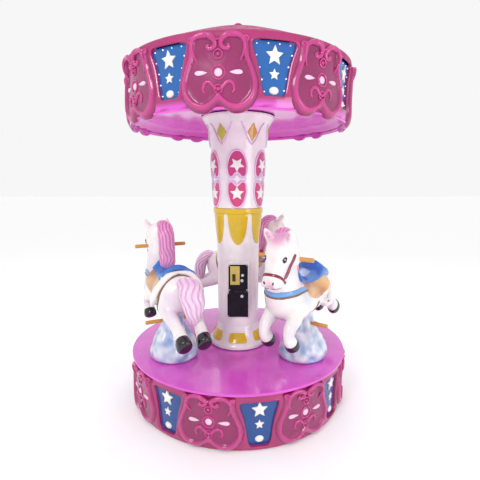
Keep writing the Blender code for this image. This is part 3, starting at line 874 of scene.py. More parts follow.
@dataclass(frozen=True)
class RoundWall:
    """A round wall that flat decoration is bent onto."""

    heights: tuple[float, ...]
    radii: tuple[float, ...]
    reach: float

    def bend(self, points: Array) -> Array:
        """Carries (across, height, proud) points onto the wall, with across 0 at the front."""
        radius = np.interp(points[:, 1], self.heights, self.radii) + points[:, 2]
        turn = points[:, 0] / self.reach
        return np.column_stack([radius * np.sin(turn), -radius * np.cos(turn), points[:, 1]])


@dataclass(frozen=True)
class Shield:
    """One raised shield with its scrolls, bosses, leaves and jewel, drawn flat."""

    low: float
    high: float
    behind: Colour
    half: float = 0.172

    OUTER = ((0, .100), (.17, .055), (.30, .012), (.47, 0), (.66, .025), (.84, .100), (.96, .220),
             (1, .350), (.97, .470), (.88, .600), (.79, .740), (.76, .880), (.74, .950),
             (.60, .985), (.40, 1), (.18, .990), (0, .950))
    INNER = ((0, .275), (.10, .215), (.24, .155), (.42, .125), (.58, .150), (.70, .205),
             (.78, .280), (.80, .370), (.77, .470), (.69, .600), (.60, .730), (.57, .830),
             (.55, .900), (.47, .930), (.33, .935), (.15, .925), (0, .900))
    RISE = ((0, -.012), (0, .001), (.08, .006), (.22, .012), (.40, .0175), (.58, .0212),
            (.70, .0225), (.80, .0212), (.90, .0165), (1, .0105))
    FLOOR = ((.96, .0085), (.85, .0078), (.6, .0085), (.3, .0095), (.04, .0098))
    HOOK = ((.093, .675), (.104, .75), (.109, .83), (.104, .91), (.085, .965), (.060, .985),
            (.034, .965), (.016, .915), (.012, .87), (.020, .83), (.036, .815), (.046, .835),
            (.042, .855))
    SCROLL = ((.012, .315), (.022, .35), (.036, .395), (.052, .398), (.063, .36), (.066, .30),
              (.060, .265))
    VOLUTE = ((.118, .90), (.124, .93), (.121, .955), (.108, .955), (.104, .935), (.110, .92))
    CURLS = ((HOOK, (.0045, .0118, .0085)), (SCROLL, (.0078, .0080, .005)),
             (VOLUTE, (.005, .005, .004)))
    JEWEL = 0.52

    def place(self, flat: Array, proud: float | Array) -> Array:
        """Shares of the half-width and the height as metres."""
        flat = np.asarray(flat, float)
        return np.column_stack([flat[:, 0] * self.half,
                                self.low + flat[:, 1] * (self.high - self.low),
                                np.broadcast_to(proud, len(flat))])

    def body(self) -> Array:
        """Rings of the shield itself: a wide rounded rim round a sunk field."""
        outer = smooth_line(mirrored(self.OUTER), 4, closed=True)
        inner = smooth_line(mirrored(self.INNER), 4, closed=True)
        rings = [self.place(outer + (inner - outer) * share, proud) for share, proud in self.RISE]
        middle = np.array([0.0, self.JEWEL])
        rings += [self.place(middle + (inner - middle) * share, proud)
                  for share, proud in self.FLOOR]
        return np.array(rings)

    def shape(self) -> Shape:
        """The whole shield as (across, height, proud) points."""
        made = Shape()
        rings = self.body()
        proud = rings[:, :, 2].ravel()
        # Painted lighter the further the shield stands proud: painted highlight on the rim, painted
        # shade in the sunk field.
        shade = mixed(MAGENTA_SHADED_HOLLOW, MAGENTA_HIGHLIT_RIDGE, ramp(proud, 0.009, 0.022))
        shade[proud < -0.001] = self.behind
        made.grid(rings, caps=True, colour=shade)
        tree = BVHTree.FromPolygons(np.vstack(made.points).tolist(), made.faces)

        def lifted(flat: Array) -> Array:
            """Flat points with how far proud the shield's own surface is there."""
            spots = []
            for u, z in flat:
                hit = tree.ray_cast(Vector((u, z, 0.1)), Vector((0.0, 0.0, -1.0)))[0]
                spots.append((u, z, hit.z if hit else 0.004))
            return np.array(spots)

        height = self.high - self.low
        for side in BOTH_SIDES:
            for points, radii in self.CURLS:
                flat = np.array([(side * u, self.low + v * height) for u, v in points])
                line = lifted(smooth_line(flat, 5))
                line[:, 2] = np.convolve(np.pad(line[:, 2], 4, mode="edge"), np.ones(9) / 9,
                                         mode="valid")
                thick = np.interp(np.linspace(0, 1, len(line)), (0, 0.5, 1), radii)
                # The scrolls take the lighter ridge colour, a painted highlight.
                made.grid(swept(line, thick, 10), caps=True, colour=MAGENTA_HIGHLIT_RIDGE)
            leaf = self.leaf(side * 0.074, self.low + self.JEWEL * height, side)
            made.grid(leaf, caps=True, colour=LEAF_PINK)
        # The rings and bosses take the lighter ridge colour, a painted highlight.
        for share, ring, boss in ((.748, .018, .0085), (.306, .017, .009)):
            z = self.low + share * height
            self.ringed(made, z, ring, boss, 0.010, MAGENTA_HIGHLIT_RIDGE)
        self.ringed(made, self.low + self.JEWEL * height, 0.028, 0.0175, 0.0085, LEAF_PINK)
        return made

    @staticmethod
    def ringed(made: Shape, z: float, ring: float, boss: float, proud: float,
               colour: Colour) -> None:
        """Adds a boss inside a raised ring."""
        turn = around(32)
        line = np.column_stack([ring * np.cos(turn), z + ring * np.sin(turn),
                                np.full(32, proud + 0.001)])
        # The raised ring takes the lighter ridge colour, a painted highlight.
        made.grid(closed_tube(line, 0.0038, 0.0045), loop=True, colour=MAGENTA_HIGHLIT_RIDGE)
        made.grid(dome((0.0, z, proud - 0.001), boss, boss, 0.009), caps=True, colour=colour)

    @staticmethod
    def leaf(u: float, z: float, side: int) -> Array:
        """Rings of a teardrop leaf with its point towards the jewel."""
        turn = around(28)
        along = -np.cos(turn) * 0.028
        width = np.sin(turn) * 0.0125 * np.sqrt(np.clip(0.5 + along / 0.056, 0.0, 1.0))
        outline = np.column_stack([u + side * along, z + width])
        return plate(outline, 0.004, 0.0125, 0.003, 0.003)


@dataclass(frozen=True)
class Ring:
    """The pink ring of shields and star panels at the top or at the foot of the ride."""

    name: str
    node: str
    band_node: str
    wall: RoundWall
    low: float
    high: float
    shield: Shield
    window: tuple[float, float, float, float]
    star_heights: tuple[float, float, float]
    phase: float
    blue: Colour
    under: Colour
    under_height: float
    lit: bool = False
    bays: int = 8

    STEPS = 10
    WALL_RISE = ((0, 0), (.3, 0), (.6, 0.0008), (.82, 0.0035), (.91, 0.005), (.97, 0.003),
                 (1, -0.002), (1, -0.016), (0, -0.016))
    PANEL_FACE = -0.0115
    LENS_FACE = -0.0105
    LENS_COUNT = 13
    LENS_RADIUS = 0.0034
    LENS_INSET = 0.90
    FIRST_SEED = 7

    def window_outline(self) -> Array:
        """The rounded panel window, with hollow sides, as (across, height)."""
        foot_half, top_half, foot, top = self.window
        shares = np.arange(self.STEPS) / self.STEPS
        outline = walked(((-foot_half, foot), (foot_half, foot), (top_half, top),
                          (-top_half, top)), shares)
        for side in (1, 3):
            here = slice(side * self.STEPS, (side + 1) * self.STEPS)
            outline[here, 0] *= 1.0 - 0.13 * np.sin(math.pi * shares)
        for _ in range(2):
            outline = 0.25 * np.roll(outline, 1, 0) + 0.5 * outline + 0.25 * np.roll(outline, -1, 0)
        return outline

    def bay_wall(self) -> Shape:
        """One bay of the pink wall round a window."""
        half = math.pi * self.wall.reach / self.bays
        edge = walked(((-half, self.low), (half, self.low), (half, self.high),
                       (-half, self.high)), range(self.STEPS), self.STEPS)
        window = self.window_outline()
        rings = np.array([np.column_stack([edge + (window - edge) * share,
                                           np.full(len(edge), proud)])
                          for share, proud in self.WALL_RISE])
        made = Shape()
        made.grid(rings, colour=mixed(self.under, MAGENTA, ramp(
            rings[:, :, 1].ravel(), self.under_height, self.under_height + 0.014)))
        for first in (0, 2 * self.STEPS):
            picked = list(range(first, first + self.STEPS + 1))
            made.grid(rings[[0, -1]][:, picked], wrap=False, colour=MAGENTA)
        return made

    def bay_panel(self) -> Shape:
        """One blue panel with its two stars and its dome."""
        made = Shape()
        outline = self.window_outline()
        middle = outline.mean(axis=0)
        wide = middle + (outline - middle) * 1.06
        made.grid(plate(wide, -0.022, -0.0125, 0.0015), caps=True, colour=self.blue)
        big, small, low = self.star_heights
        for rings in (star_rings((0.0, big, self.PANEL_FACE), 0.042, 0.007),
                      star_rings((0.0, small, self.PANEL_FACE), 0.025, 0.006),
                      dome((0.0, low, self.PANEL_FACE), 0.022, 0.017, 0.009)):
            made.grid(rings, caps=True, colour=STAR_WHITE)
        return made

    def build(self, repeater: RoundRepeater, lenses: LineRepeater, finishes: Finishes) -> None:
        """Builds the wall, the panels, the shields and any lights on the stand."""
        between = self.phase + math.pi / self.bays
        for part, flat, phase, finish, slot, nodes in (
                ("wall", self.bay_wall(), between, Finish.PAINTED, Slot.PINK, [self.node]),
                ("panels", self.bay_panel(), between, Finish.PAINTED, Slot.BLUE,
                 [self.band_node]),
                ("shields", self.shield.shape(), self.phase, Finish.MOULDED, Slot.PINK, [])):
            piece = repeater.wrapped(flat, self.wall, f"{self.name}_{part}", self.bays, phase,
                                     finishes[finish])
            dress(piece, Body.STAND, slot, *nodes)
        if self.lit:
            self.build_lights(lenses, finishes[Finish.LENS])

    def build_lights(self, lenses: LineRepeater, finish: Material) -> None:
        """Sets small lenses round each panel and joins them to one piece."""
        outline = self.window_outline()
        middle = outline.mean(axis=0)
        flat = middle + (outline - middle) * self.LENS_INSET
        joined = bmesh.new()
        for bay in range(self.bays):
            line = np.column_stack([flat, np.full(len(flat), self.LENS_FACE)])
            line[:, 0] += (self.phase + (2 * bay + 1) * math.pi / self.bays) * self.wall.reach
            mesh = lenses.along(self.wall.bend(line), f"{self.name}_lenses_{bay}",
                                self.LENS_COUNT, self.LENS_RADIUS, self.FIRST_SEED + bay, finish)
            joined.from_mesh(mesh)
        mesh = bpy.data.meshes.new(self.name + "_lights")
        joined.to_mesh(mesh)
        joined.free()
        mesh.shade_smooth()
        dress(placed(self.name + "_lights", mesh, finish), Body.STAND, Slot.WHITE)


def revolve(name: str, profile: Sequence[tuple[float, float]], finish: Material,
            colour: Colour | Callable[[Array], Array] = WHITE, steps: int = 144) -> Piece:
    """A closed profile turned round the Z axis.

    Args:
        name: the piece's name.
        profile: its points as (radius, height).
        finish: the piece's material.
        colour: its colour, or a rule that gives one for each point.
        steps: how many steps the turn takes.

    Returns:
        The new piece.
    """
    loop = np.asarray(profile, float)
    angles = around(steps)
    rows = np.stack([np.outer(loop[:, 0], np.cos(angles)), np.outer(loop[:, 0], np.sin(angles)),
                     np.repeat(loop[:, 1:2], steps, axis=1)], axis=2)
    on_axis = bool(loop[0, 0] < 1e-6 and loop[-1, 0] < 1e-6)
    shape = Shape()
    shape.grid(rows, loop=not on_axis,
               colour=colour(rows.reshape(-1, 3)) if callable(colour) else colour)
    return placed(name, shape.mesh(name, 50.0), finish)


@dataclass(frozen=True)
class Canopy:
    """The roof and the vaulted underside that join the upper ring to the column."""

    ROOF = ((0.0, 2.136), (0.0, 2.1502), (0.040, 2.146), (0.14, 2.108), (0.30, 2.047),
            (0.42, 1.996), (0.52, 1.951), (0.585, 1.921), (0.612, 1.911), (0.624, 1.901),
            (0.6265, 1.888), (0.6255, 1.872), (0.604, 1.872), (0.600, 1.892), (0.52, 1.897),
            (0.300, 2.032))
    KNOB = ((0.0, 2.140), (0.0, 2.1703), (0.008, 2.1695), (0.018, 2.166), (0.025, 2.160),
            (0.028, 2.152), (0.028, 2.140))
    VAULT = ((.606, 1.592), (.598, 1.604), (.588, 1.617), (.572, 1.640), (.545, 1.655),
             (.48, 1.662), (.3, 1.664), (.212, 1.6635))

    def build(self, finishes: Finishes) -> None:
        """Builds the roof, its knob and the soffit."""
        weathered = finishes[Finish.WEATHERED]
        dress(revolve("roof", self.ROOF, weathered, MAGENTA), Body.STAND, Slot.PINK,
              "canopy_roof")
        dress(revolve("knob", self.KNOB, weathered, MAGENTA, 48), Body.STAND, Slot.PINK,
              "roof_knob")
        under = smooth_line(self.VAULT, 4)
        over = under[::-1] + np.array([0.004, 0.007])
        over[0, 0] = under[-1, 0]
        soffit = revolve("soffit", np.vstack([under, over]), finishes[Finish.PAINTED], VAULT_PINK)
        dress(soffit, Body.STAND, Slot.ORCHID, "canopy_lining", "canopy_ceiling")


@dataclass(frozen=True)
class Column:
    """The hollow centre column with its painted mouldings."""

    pad: float = 0.1265
    pad_half: float = 0.067
    pad_low: float = 0.492
    pad_high: float = 0.826
    fold: int = 6
    phase: float = math.radians(-2.5)

    UPPER = ((1.140, .1440), (1.153, .1443), (1.212, .1473), (1.301, .1527), (1.388, .1575),
             (1.474, .1590), (1.531, .168), (1.588, .176), (1.625, .196), (1.645, .210),
             (1.657, .2124))
    SHAFT = ((.3115, .1775), (.326, .1775), (.338, .170), (.360, .152), (.395, .136), (.430, .128),
             (.470, .1255), (.760, .1255), (.93, .128), (.97, .1285), (1.093, .139))
    HEART = ((0, 1.462), (.024, 1.453), (.042, 1.424), (.053, 1.385), (.054, 1.358),
             (.050, 1.330), (.038, 1.317), (.024, 1.319), (.012, 1.332), (0, 1.341))
    PETAL = ((0, .929), (.028, .950), (.045, .998), (.0535, 1.055), (.056, 1.092), (.056, 1.112),
             (0, 1.113))
    TAB = ((0, .348), (.038, .349), (.047, .356), (.044, .384), (.038, .397), (0, .400))
    DIAMOND = ((0, 1.510), (.027, 1.556), (0, 1.606), (-.027, 1.556))
    SCROLL = ((.004, .024), (.016, .008), (.034, .005), (.046, .010), (.050, .0), (.044, -.008),
              (.030, -.006), (.014, -.010), (.004, -.026))
    VEIN = ((.0, 1.492), (.022, 1.520), (.040, 1.566), (.058, 1.608))
    MIRROR = 1.3035
    HALF_FOLD = 0.0785
    UPPER_WALL = RoundWall(*zip(*UPPER), 0.150)
    SHAFT_WALL = RoundWall(*zip(*SHAFT), 0.132)
    INSIDE = ((0.200, 1.6632), (0.150, 1.6632), (0.115, 1.480), (0.105, 1.1403))
    BORE = ((0.139, 1.118), (0.1155, 1.118), (0.1155, 0.3515), (0.070, 0.3235), (0.070, 0.3115))
    COLLAR = ((0.128, 1.108, 0.0), (0.1475, 1.108, 0.004), (0.1485, 1.1385, 0.004),
              (0.128, 1.1385, 0.0))
    PETAL_TURN = math.radians(-1.0)
    DOOR_HOLE = ((-.046, -.2, .515), (.046, -.05, .636))
    COIN_HOLE = ((-.0312, -.2, .718), (-.018, -.05, .756))

    @staticmethod
    def blush(points: Array) -> Array:
        """White gel coat with soft lilac shading in places."""
        share = 0.5 + 0.9 * lumps(points, 7.0, 3.0) + 0.35 * lumps(points, 19.0, 9.0)
        return mixed(WHITE_COAT, LILAC, 0.24 * np.clip(share, 0.0, 1.0))

    def fold_shape(self) -> Shape:
        """One fold of the upper mouldings: two hearts with stars, their scrolls and a vein."""
        made = Shape()
        for side in BOTH_SIDES:
            def level(z: float) -> float:
                """The height as drawn, or turned over for the lower heart."""
                return z if side == 1 else 2 * self.MIRROR - z

            outline = smooth_line([(u, level(z)) for u, z in mirrored(self.HEART)], 5, closed=True)
            made.grid(plate(outline, -0.003, 0.0014, 0.0008), caps=True,
                      colour=HEART_PINKS[0 if side == 1 else 1])
            rim = np.column_stack([outline, np.full(len(outline), 0.0015)])
            # The white rim is painted lilac: painted shade along it.
            made.grid(closed_tube(rim, 0.0052, 0.0052), loop=True, colour=RIM_SHADE_LILAC)
            star = star_rings((0.0, level(1.383), 0.0018), 0.041, 0.006,
                              math.pi if side == 1 else 0.0)
            made.grid(star, caps=True, colour=STAR_WHITE)
        for side in BOTH_SIDES:
            curl = smooth_line([(side * u, self.MIRROR + z, 0.001) for u, z in self.SCROLL], 5)
            # The scrolls and veins are painted lilac too: painted shade.
            made.grid(swept(curl, np.full(len(curl), 0.0032), 8), caps=True, colour=RIM_SHADE_LILAC)
            vein = smooth_line([(side * u + self.HALF_FOLD, z, 0.0015) for u, z in self.VEIN], 6)
            made.grid(swept(vein, np.linspace(0.0045, 0.003, len(vein)), 8), caps=True,
                      colour=RIM_SHADE_LILAC)
        return made

    @staticmethod
    def plaque(outline: Array, proud: float, crown: float, edge: float, foot: float,
               colour: Colour) -> Shape:
        """One flat plate with a soft edge, as a shape."""
        made = Shape()
        made.grid(plate(outline, foot, proud, crown, edge), caps=True, colour=colour)
        return made

    def build(self, repeater: RoundRepeater, finishes: Finishes) -> None:
        """Builds the shaft, the upper part, the petals and all mouldings."""
        finish = finishes[Finish.PAINTED]
        profile = np.vstack([smooth_line([(r, z) for z, r in self.UPPER], 4), self.INSIDE])
        gem = walked(self.DIAMOND, (0.04, 0.35, 0.65, 0.96)) + np.array([self.HALF_FOLD, 0.0])
        petal = smooth_line(mirrored(self.PETAL), 5, closed=True)
        tab = smooth_line(mirrored(self.TAB), 4, closed=True)
        gold = self.plaque(gem, 0.0035, 0.002, 0.0015, -0.003, DIAMOND_GOLD)
        green = self.plaque(gem, 0.0035, 0.002, 0.0015, -0.003, DIAMOND_GREEN)
        petals = self.plaque(petal, 0.0035, 0.0015, 0.002, -0.004, PETAL_YELLOW)
        tabs = self.plaque(tab, 0.004, 0.001, 0.002, -0.004, PETAL_YELLOW)
        upper, lower = self.UPPER_WALL, self.SHAFT_WALL
        pieces = (
            (revolve("capital", profile, finish, self.blush, 120), Slot.WHITE, ["column_upper"]),
            (repeater.wrapped(self.fold_shape(), upper, "capital_mouldings", self.fold,
                              self.phase, finish), Slot.WHITE, []),
            (repeater.wrapped(gold, upper, "capital_diamonds_golden", 3, self.phase, finish),
             Slot.YELLOW, []),
            (repeater.wrapped(green, upper, "capital_diamonds_green", 3,
                              self.phase + math.pi / 3, finish), Slot.YELLOW, []),
            (revolve("petal_ring", rounded_profile(self.COLLAR), finish, PETAL_YELLOW, 120),
             Slot.YELLOW, ["petal_collar"]),
            (repeater.wrapped(petals, lower, "petals", self.fold, self.PETAL_TURN, finish),
             Slot.YELLOW, []),
            (repeater.wrapped(tabs, lower, "foot_tabs", self.fold, self.PETAL_TURN, finish),
             Slot.YELLOW, []))
        for piece, slot, nodes in pieces:
            dress(piece, Body.STAND, slot, *nodes)
        self.build_shaft(finish)

    def build_shaft(self, finish: Material) -> None:
        """Builds the shaft with the flat pad for the coin panel and its two openings."""
        outside = smooth_line([(r, z) for z, r in self.SHAFT], 4)
        shaft = revolve("shaft", np.vstack([outside, self.BORE]), finish, self.blush, 120)
        pad = rounded_box((-self.pad_half, -self.pad, self.pad_low),
                          (self.pad_half, -0.104, self.pad_high), 0.006)
        mesh = carved(shaft, "shaft", [("UNION", pad),
                                       ("DIFFERENCE", rounded_box(*self.DOOR_HOLE, 0.0)),
                                       ("DIFFERENCE", rounded_box(*self.COIN_HOLE, 0.0))])
        paint_points(mesh, self.blush(np.array([tuple(v.co) for v in mesh.vertices])))
        dress(placed("shaft", mesh, finish), Body.STAND, Slot.WHITE, "column_shaft")


def rounded_box(low: Sequence[float], high: Sequence[float], bevel: float) -> Mesh:
    """A box between two corners with its edges rounded, as a mesh with its paint."""
    bm = bmesh.new()
    bmesh.ops.create_cube(bm, size=1.0)
    low, high = np.asarray(low, float), np.asarray(high, float)
    for vert in bm.verts:
        vert.co = Vector((low + high) / 2 + np.array(vert.co) * (high - low))
    if bevel > 0.0:
        bmesh.ops.bevel(bm, geom=bm.edges, offset=bevel, segments=3, profile=0.5,
                        affect="EDGES")
    mesh = bpy.data.meshes.new("box")
    bm.to_mesh(mesh)
    bm.free()
    paint_points(mesh, WHITE)
    return tidy(mesh, 35.0)


@dataclass(frozen=True)
class CoinPanel:
    """The black coin plate and what is fixed on it."""

    face: float = -0.1345
    back: float = -0.1269
    half: float = 0.059
    low: float = 0.653
    high: float = 0.818

    SLOT = ((-.0272, -.2, .722), (-.0220, -.1, .752))
    SLOT_FRAME = ((-.0310, .718), (-.0182, .718), (-.0182, .756), (-.0310, .756), (-.0310, .718))
    LABEL_LOW = (-.046, .695)
    LABEL_HIGH = (.009, .806)
    SCREWS = ((-.051, .810), (.051, .810), (-.051, .664), (.051, .664))

    def disc(self, name: str, place: tuple[float, float], radius: float, proud: float,
             finish: Material, slot: Slot, lift: float = 0.0) -> None:
        """Sets a small round cap on the panel's face, or a little off it."""
        rings = dome((*place, lift - self.face), radius, radius, proud * 0.35, 24, 5, 0.001)
        rings[2:, :, 2] += proud * 0.65
        shape = Shape()
        shape.grid(np.stack([rings[..., 0], -rings[..., 2], rings[..., 1]], axis=-1), caps=True)
        dress(placed(name, shape.mesh(name), finish), Body.STAND, slot)

    def slotted(self, name: str, low: Sequence[float], high: Sequence[float], bevel: float,
                finish: Material) -> Piece:
        """A thin rounded box with the coin slot cut through it."""
        solid = placed(name + "_solid", rounded_box(low, high, bevel), finish)
        return placed(name, carved(solid, name, [("DIFFERENCE", rounded_box(*self.SLOT, 0.0))]),
                      finish)

    def rods(self, name: str, corners: Sequence[tuple[float, float]], proud: float,
             radius: float, finish: Material, slot: Slot) -> None:
        """Sets a rod on the panel's face along each stretch of a line of (across, height)."""
        shape = Shape()
        for ends in zip(corners, corners[1:]):
            line = np.array([(x, self.face - proud, z) for x, z in ends])
            shape.grid(swept(line, np.full(2, radius), 8, up=(0.0, 1.0, 0.0)), caps=True)
        dress(placed(name, shape.mesh(name), finish), Body.STAND, slot)

    def build(self, finishes: Finishes) -> None:
        """Builds the panel and what is fixed on it."""
        black, steel, white = (finishes[f] for f in (Finish.BLACK, Finish.STEEL, Finish.TRIM))
        panel = self.slotted("coin_panel", (-self.half, self.face, self.low),
                             (self.half, self.back, self.high), 0.0012, black)
        dress(panel, Body.STAND, Slot.BLACK, "coin_plate")
        across, foot, top = self.half - 0.0005, self.low + 0.0005, self.high - 0.0005
        self.rods("panel_border", ((across, foot), (across, top), (-across, top),
                                   (-across, foot)), 0.0003, 0.0022, white, Slot.WHITE)
        left, low = self.LABEL_LOW
        right, high = self.LABEL_HIGH
        sticker = self.slotted("label", (left, self.face - .0006, low),
                               (right, self.face + .0005, high), 0.0002,
                               finishes[Finish.LABEL])
        dress(sticker, Body.STAND, Slot.YELLOW)
        self.rods("slot_frame", self.SLOT_FRAME, 0.0006, 0.0030, black, Slot.BLACK)
        for number, place in enumerate(self.SCREWS, start=1):
            self.disc(f"panel_screw_{number}", place, .0038, .002, steel, Slot.STEEL)
        self.disc("slot_ring", (.026, .752), .009, .003, steel, Slot.STEEL)
        self.disc("price_dot", (-.002, .772), .0025, .0008, white, Slot.WHITE, 0.0005)


Station = tuple[float, float, float, float, float, float]
Point = tuple[float, float, float]


def sided(rows: Sequence[Sequence[float]], side: int) -> list[tuple[float, ...]]:
    """Rows that start with (ahead, outward), carried to one side of the pony."""
    return [(row[0], side * row[1], *row[2:]) for row in rows]


@dataclass(frozen=True)
class Strap:
    """A flat strap on the skin: the places it passes, its width, its colour and its rise."""

    points: Sequence[Point]
    width: float
    colour: Colour
    rise: float = 0.003
    steps: int = 8


@dataclass(frozen=True)
class Bead:
    """An oval lump on the skin: its place, half sizes, depth, colour and turn in radians."""

    point: Point
    size: Point
    sunk: float
    colour: Colour
    turn: float = 0.0


def lofted(stations: Sequence[Station], sides: int = 24, steps: int = 5,
           power: float = 2.0) -> Array:
    """Smooth rings through stations of (ahead, outward, up, half-width, half-height, slope).

    Args:
        stations: the middle, the size and the slope in degrees of each ring.
        sides: how many points a ring has.
        steps: how many rings each stretch between two stations gets.
        power: 2 for an oval, more for a squarer ring.

    Returns:
        The rings as (rings, sides, 3).
    """
    line = smooth_line(stations, steps)
    turn = around(sides)
    c, s = np.cos(turn), np.sin(turn)
    c = np.sign(c) * np.abs(c) ** (2 / power)
    s = np.sign(s) * np.abs(s) ** (2 / power)
    rings = []
    for x, y, z, w, h, slope in line:
        a = math.radians(slope)
        rings.append(np.stack([x - math.sin(a) * h * s, y + max(w, 0.002) * c,
                               z + math.cos(a) * h * s], axis=1))
    return np.array(rings)


@dataclass
class PonyBody:
    """The moulded white body of a pony, and the ways to lay things on its skin."""

    mesh: Mesh = field(init=False)
    tree: BVHTree = field(init=False)

    TORSO = ((-.292, 0, .398, .040, .045, 0), (-.272, 0, .394, .078, .084, 0),
             (-.215, 0, .386, .108, .108, 0), (-.130, 0, .374, .114, .108, 0),
             (-.030, 0, .362, .114, .100, 0), (.060, 0, .364, .118, .104, 0),
             (.132, 0, .382, .114, .116, 20), (.178, 0, .420, .100, .112, 45),
             (.194, 0, .480, .084, .096, 68), (.194, 0, .550, .074, .084, 86),
             (.186, 0, .620, .066, .072, 96), (.176, 0, .672, .056, .054, 98))
    HEAD = ((.146, 0, .728, .030, .018, -56), (.162, 0, .710, .058, .048, -57),
            (.188, 0, .670, .078, .068, -60), (.216, 0, .624, .079, .069, -62),
            (.246, 0, .576, .064, .058, -62), (.272, 0, .534, .053, .049, -62),
            (.292, 0, .500, .054, .048, -62), (.304, 0, .478, .038, .031, -62))
    HIND_LEG = ((-.180, .066, .370, .048, .080, -92), (-.205, .070, .322, .048, .066, -116),
                (-.262, .067, .288, .038, .046, -140), (-.325, .061, .262, .030, .035, -154),
                (-.373, .056, .234, .032, .037, -150), (-.414, .053, .208, .034, .041, -148))
    FORE_LEG = ((.130, .058, .350, .044, .070, -60), (.185, .068, .300, .038, .048, -45),
                (.240, .070, .262, .032, .034, -60), (.250, .069, .228, .028, .030, -105),
                (.232, .068, .200, .033, .035, -125), (.214, .068, .181, .034, .035, -130))
    EAR = ((.196, .040, .664, .031, .026, 66), (.213, .049, .696, .034, .025, 62),
           (.235, .060, .728, .026, .018, 58), (.254, .070, .758, .008, .006, 55))
    SIDE_LUMPS = (((.214, .050, .640), (.034, .018, .026)),
                  ((.236, .046, .560), (.050, .016, .034)),
                  ((.318, .030, .497), (.022, .020, .018)),
                  ((.178, .062, .610), (.036, .022, .046)),
                  ((-.150, .062, .392), (.095, .062, .085)),
                  ((-.212, .064, .330), (.052, .044, .052)),
                  ((.118, .060, .356), (.075, .060, .080)))
    MIDDLE_LUMPS = (((.206, 0, .690), (.040, .040, .036)), ((.296, 0, .474), (.026, .034, .018)))
    AIRBRUSH = ((LILAC, (-.10, .0, .27), .13, .55), (LILAC, (.16, .0, .30), .12, .5),
                (LILAC, (-.27, .07, .36), .10, .45), (LILAC, (-.30, .06, .25), .08, .4),
                (ROSE, (.23, .0, .43), .10, .35), (LILAC, (.205, .03, .56), .08, .35),
                (ROSE, (.222, .0, .705), .080, .80), (ROSE, (.268, .0, .60), .045, .30),
                (LILAC, (.262, .06, .565), .05, .35), (ROSE, (.33, .0, .49), .045, .55),
                (SKY, (.12, .12, .40), .07, .30), (SKY, (-.06, .14, .31), .07, .25),
                (LILAC, (.15, .08, .50), .09, .35), (LILAC, (.24, .07, .25), .06, .40))
    EAR_SPOTS = ((.232, .046, .700), (.243, .052, .716), (.252, .058, .732))
    STRAP_EDGE = ((-1, .15), (-.86, .8), (-.4, 1.0), (.4, 1.0), (.86, .8), (1, .15))
    VOXEL = 0.0055

    def __post_init__(self) -> None:
        """Joins the limbs into one skin and paints it."""
        parts = [lofted(self.TORSO, 28), lofted(self.HEAD, 28, power=2.25)]
        for side in BOTH_SIDES:
            parts += [lofted(sided(limb, side), 20)
                      for limb in (self.HIND_LEG, self.FORE_LEG, self.EAR)]
            parts += [self.ball(*lump, side) for lump in self.SIDE_LUMPS]
        parts += [self.ball(*lump, 1) for lump in self.MIDDLE_LUMPS]
        joined = Shape()
        for rings in parts:
            joined.grid(rings, caps=True)
        raw = placed("pony_raw", joined.mesh("pony_raw"), None)
        remesh = raw.modifiers.new("skin", "REMESH")
        remesh.mode = "VOXEL"
        remesh.voxel_size = self.VOXEL
        soften = raw.modifiers.new("soften", "SMOOTH")
        soften.factor = 0.6
        soften.iterations = 9
        self.mesh = evaluated(raw, "pony_body")
        self.mesh.shade_smooth()
        paint_points(self.mesh,
                     self.airbrushed(np.array([tuple(v.co) for v in self.mesh.vertices])))
        self.tree = BVHTree.FromPolygons([v.co for v in self.mesh.vertices],
                                         [tuple(p.vertices) for p in self.mesh.polygons])

    @staticmethod
    def ball(middle: Sequence[float], size: Sequence[float], side: int) -> Array:
        """Rings of an oval lump, on one side of the pony."""
        turn = around(20)
        rings = []
        for a in np.linspace(-1.5, 1.5, 13):
            rings.append(np.stack([middle[0] + size[0] * math.cos(a) * np.cos(turn),
                                   side * (middle[1] + size[1] * math.cos(a) * np.sin(turn)),
                                   np.full(20, middle[2] + size[2] * math.sin(a))], axis=1))
        return np.array(rings)

    def airbrushed(self, points: Array) -> Array:
        """The painter's shading on the white skin, by place."""
        folded = np.column_stack([points[:, 0], np.abs(points[:, 1]), points[:, 2]])
        colours = np.tile(np.asarray(WHITE_COAT), (len(points), 1))
        cloudy = 0.75 + 0.5 * lumps(points, 9.0, 5.0)
        for tone, middle, reach, strength in self.AIRBRUSH:
            colours = mixed(colours, tone, spot(folded, middle, reach) * strength * cloudy)
        for middle in self.EAR_SPOTS:
            colours = mixed(colours, EAR_PINK, spot(folded, middle, .016) * 0.75)
        return mixed(colours, LASH_GREY, spot(folded, (.290, .062, .6135), .022) * 0.75)

    def skin(self, point: Sequence[float]) -> tuple[Array, Array]:
        """The nearest place on the skin, and its outward direction."""
        place, normal, _, _ = self.tree.find_nearest(Vector(point))
        return np.array(place), np.array(normal)

    def strap(self, made: Shape, strap: Strap) -> None:
        """Adds a flat strap that lies on the skin."""
        line = [self.skin(p)[0] for p in smooth_line(strap.points, strap.steps)]
        along = np.gradient(np.array(line), axis=0)
        along /= np.linalg.norm(along, axis=1)[:, None] + 1e-12
        rows = []
        for place, ahead in zip(line, along):
            side = np.cross(self.skin(place)[1], ahead)
            side /= np.linalg.norm(side) + 1e-12
            ring = []
            for share, lift in self.STRAP_EDGE:
                foot, up = self.skin(place + side * share * strap.width / 2)
                ring.append(foot + up * lift * strap.rise)
            for share in (.95, -.95):
                foot, up = self.skin(place + side * share * strap.width / 2)
                ring.append(foot - up * 0.002)
            rows.append(ring)
        made.grid(np.array(rows), caps=True, colour=strap.colour)

